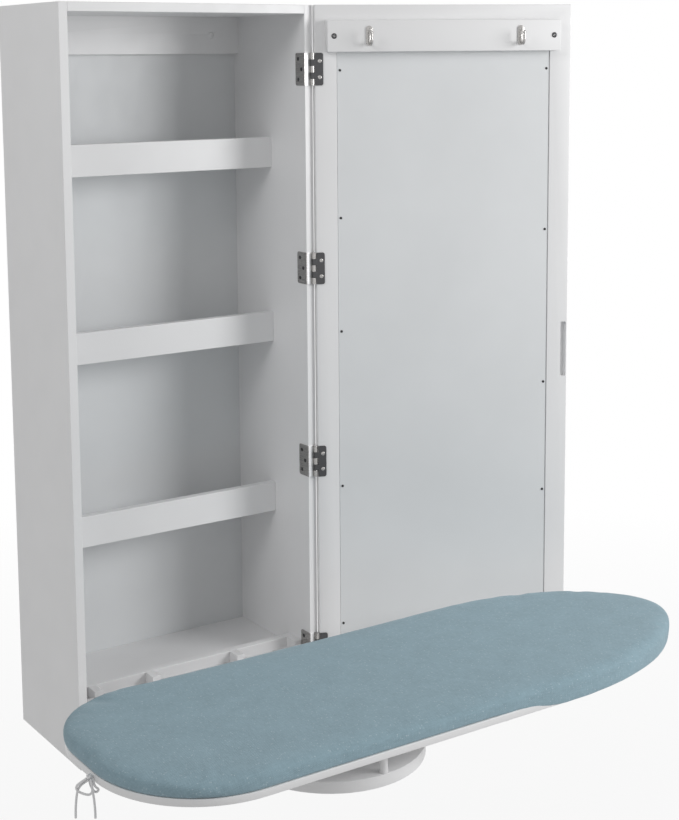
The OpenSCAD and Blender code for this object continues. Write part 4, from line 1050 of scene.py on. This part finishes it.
def cover_rings(look):
    """Rings of the closed cover from under the hem over the top to the middle line."""
    rim = rim_points()
    bm = bmesh.new()
    flat = bm.loops.layers.uv.new("cloth")
    rings = []
    for i, p in enumerate(rim):
        x, y = at_rim(p, 0)
        share = nose_share(x)
        spine = Vector((round(min(max(x, -0.17), 0.29) / SPINE_STEP) * SPINE_STEP, 0.0))
        run = i * RIM_STEP
        gather = noise.noise(Vector((run * 55, 0.3, 0.0))) * look.pucker
        fine = noise.noise(Vector((run * 190, 4.1, 0.0))) * look.pucker * 0.55
        puckered = 1.0 + 2.2 * math.exp(-((x - 0.17) / 0.035) ** 2) * (y < 0)
        lift = (gather + fine) * puckered
        low_in, tuck_in, mid_in, mid_z = (
            tail + (nose - tail) * share for tail, nose in (HEM_IN, TUCK_IN, BULGE_IN,
                                                            BULGE_Z))
        low_z = -0.0085 * share + 0.0001
        column = [(tuck_in + 0.03, UNDER_Z), (tuck_in, UNDER_Z),
                  (tuck_in, min(low_z + 0.0004, UNDER_Z)),
                  ((low_in + tuck_in) / 2, low_z + lift * 0.5),
                  (low_in - gather * 0.3, low_z + 0.0003 + lift * 0.8),
                  (mid_in - gather * 0.5, mid_z + lift * 0.6)]
        for inset, h in COVER_PROFILE:
            ease = math.exp(-max(0.0, h - 5.25) / 6.0)
            column.append((inset * MM - gather * 0.5 * ease, h * MM))
        row = []
        for inset, h in column:
            px, py = at_rim(p, inset)
            px += nose_pull(px)
            row.append(Vector((px, py + SWIVEL_Y, CORE_TOP + h)))
        edge = Vector(at_rim(p, 0.014))
        edge.x += nose_pull(edge.x)
        for share_in, h in COVER_INNER:
            q = edge.lerp(spine, share_in)
            row.append(Vector((q.x, q.y + SWIVEL_Y, CORE_TOP + h * MM)))
        first = row[0].xy - Vector((0, SWIVEL_Y))
        under = [first.lerp(spine, s) for s in (1.0, 0.5)]
        row = [Vector((q.x, q.y + SWIVEL_Y, CORE_TOP + UNDER_Z)) for q in under] + row
        rings.append([bm.verts.new(v) for v in row])
    spots = {}
    for column in rings:
        reach, base = 0.0, column[TOP_RING].co
        outward = (base.xy - column[TOP_RING + 1].co.xy).normalized()
        spots.update((v, v.co.xy.copy()) for v in column[TOP_RING:])
        for k in range(TOP_RING - 1, -1, -1):
            reach += (column[k].co - column[k + 1].co).length
            spots[column[k]] = base.xy + outward * reach
    for a, b in zip(rings, rings[1:] + rings[:1]):
        for k in range(len(a) - 1):
            face = bm.faces.new((a[k], b[k], b[k + 1], a[k + 1]))
            for loop in face.loops:
                loop[flat].uv = spots[loop.vert]
    bmesh.ops.recalc_face_normals(bm, faces=bm.faces)
    bmesh.ops.remove_doubles(bm, verts=bm.verts, dist=2e-5)
    bmesh.ops.dissolve_degenerate(bm, edges=bm.edges, dist=1e-6)
    bm.verts.index_update()
    pinned = [v.index for v in bm.verts if v.co.z < CORE_TOP + 0.0045]
    return bm, pinned


def stuff_cover(context, cover, pinned, swell):
    """Lets the cover swell by pressure as if stuffed, held at the hem, and caps how far it moves.
    """
    rest = [v.co.copy() for v in cover.data.vertices]
    hem = cover.vertex_groups.new(name="hem")
    hem.add(pinned, 1.0, "REPLACE")
    cloth = cover.modifiers.new("stuffing", "CLOTH")
    for key, value in CLOTH.items():
        setattr(cloth.settings, key, value)
    cloth.settings.effector_weights.gravity = 0.0
    cloth.collision_settings.use_collision = False
    cloth.collision_settings.use_self_collision = False
    cloth.point_cache.frame_start, cloth.point_cache.frame_end = 1, CLOTH_STEPS
    for step in range(1, CLOTH_STEPS + 1):
        context.scene.frame_set(step)
    settled = evaluated_mesh(cover)
    cover.modifiers.clear()
    for vertex, start, end in zip(cover.data.vertices, rest, settled.vertices):
        move = end.co - start
        if move.length > swell:
            move = move.normalized() * swell
        vertex.co = start + move
        vertex.co.z = min(vertex.co.z, PAD_TOP + 0.0015)
    context.scene.frame_set(1)
    bpy.data.meshes.remove(settled)


class CoverOperator(bpy.types.Operator):
    """Stuff the padded cover over the board, with its gathered hem; the swollen cover stands in
    for the foam as well
    """
    bl_idname = "cabinet.cover"
    bl_label = "Cover"

    def execute(self, context):
        look = context.scene.board_look
        bm, pinned = cover_rings(look)
        cover = put("padded_cover", bm, "cover_cloth", "board", ("board_cover", "foam_pad"), 3.0)
        stuff_cover(context, cover, pinned, look.swell)
        smooth = cover.modifiers.new("fine", "SUBSURF")
        smooth.levels = smooth.render_levels = 1
        context.view_layer.update()
        fine = evaluated_mesh(cover)
        cover.modifiers.clear()
        cover.data = fine
        return {"FINISHED"}


OPERATORS = (StageOperator, DrawstringOperator, CaseOperator, ShelfOperator, TrayOperator,
             DoorFrameOperator, DoorPanelOperator, MirrorOperator, CoatRailOperator,
             HingeOperator, SupportOperator, TurntableOperator, BoardOperator, CoverOperator)
LOOKS = {"cabinet_look": CabinetLook, "door_look": DoorLook, "board_look": BoardLook,
         "steel_look": SteelLook, "stage_look": StageLook}


class CabinetPanel(bpy.types.Panel):
    """Lists the cabinet's operators and the sizes and colours that they use"""
    bl_idname = "VIEW3D_PT_ironing_cabinet"
    bl_label = "Ironing board cabinet"
    bl_space_type = "VIEW_3D"
    bl_region_type = "UI"
    bl_category = "Cabinet"

    def draw(self, context):
        for look, kind in LOOKS.items():
            for name in kind.__annotations__:
                self.layout.prop(getattr(context.scene, look), name)
        for operator in OPERATORS:
            self.layout.operator(operator.bl_idname)


CLASSES = (*LOOKS.values(), *OPERATORS, CabinetPanel)


def register():
    for kind in CLASSES:
        bpy.utils.register_class(kind)
    for name, kind in LOOKS.items():
        setattr(bpy.types.Scene, name, bpy.props.PointerProperty(type=kind))


def unregister():
    for name in LOOKS:
        delattr(bpy.types.Scene, name)
    for kind in reversed(CLASSES):
        bpy.utils.unregister_class(kind)


def main():
    register()
    register_materials(bpy.context.scene)
    for operator in OPERATORS:
        getattr(bpy.ops.cabinet, operator.bl_idname.split(".")[1])()


if __name__ == "__main__":
    main()
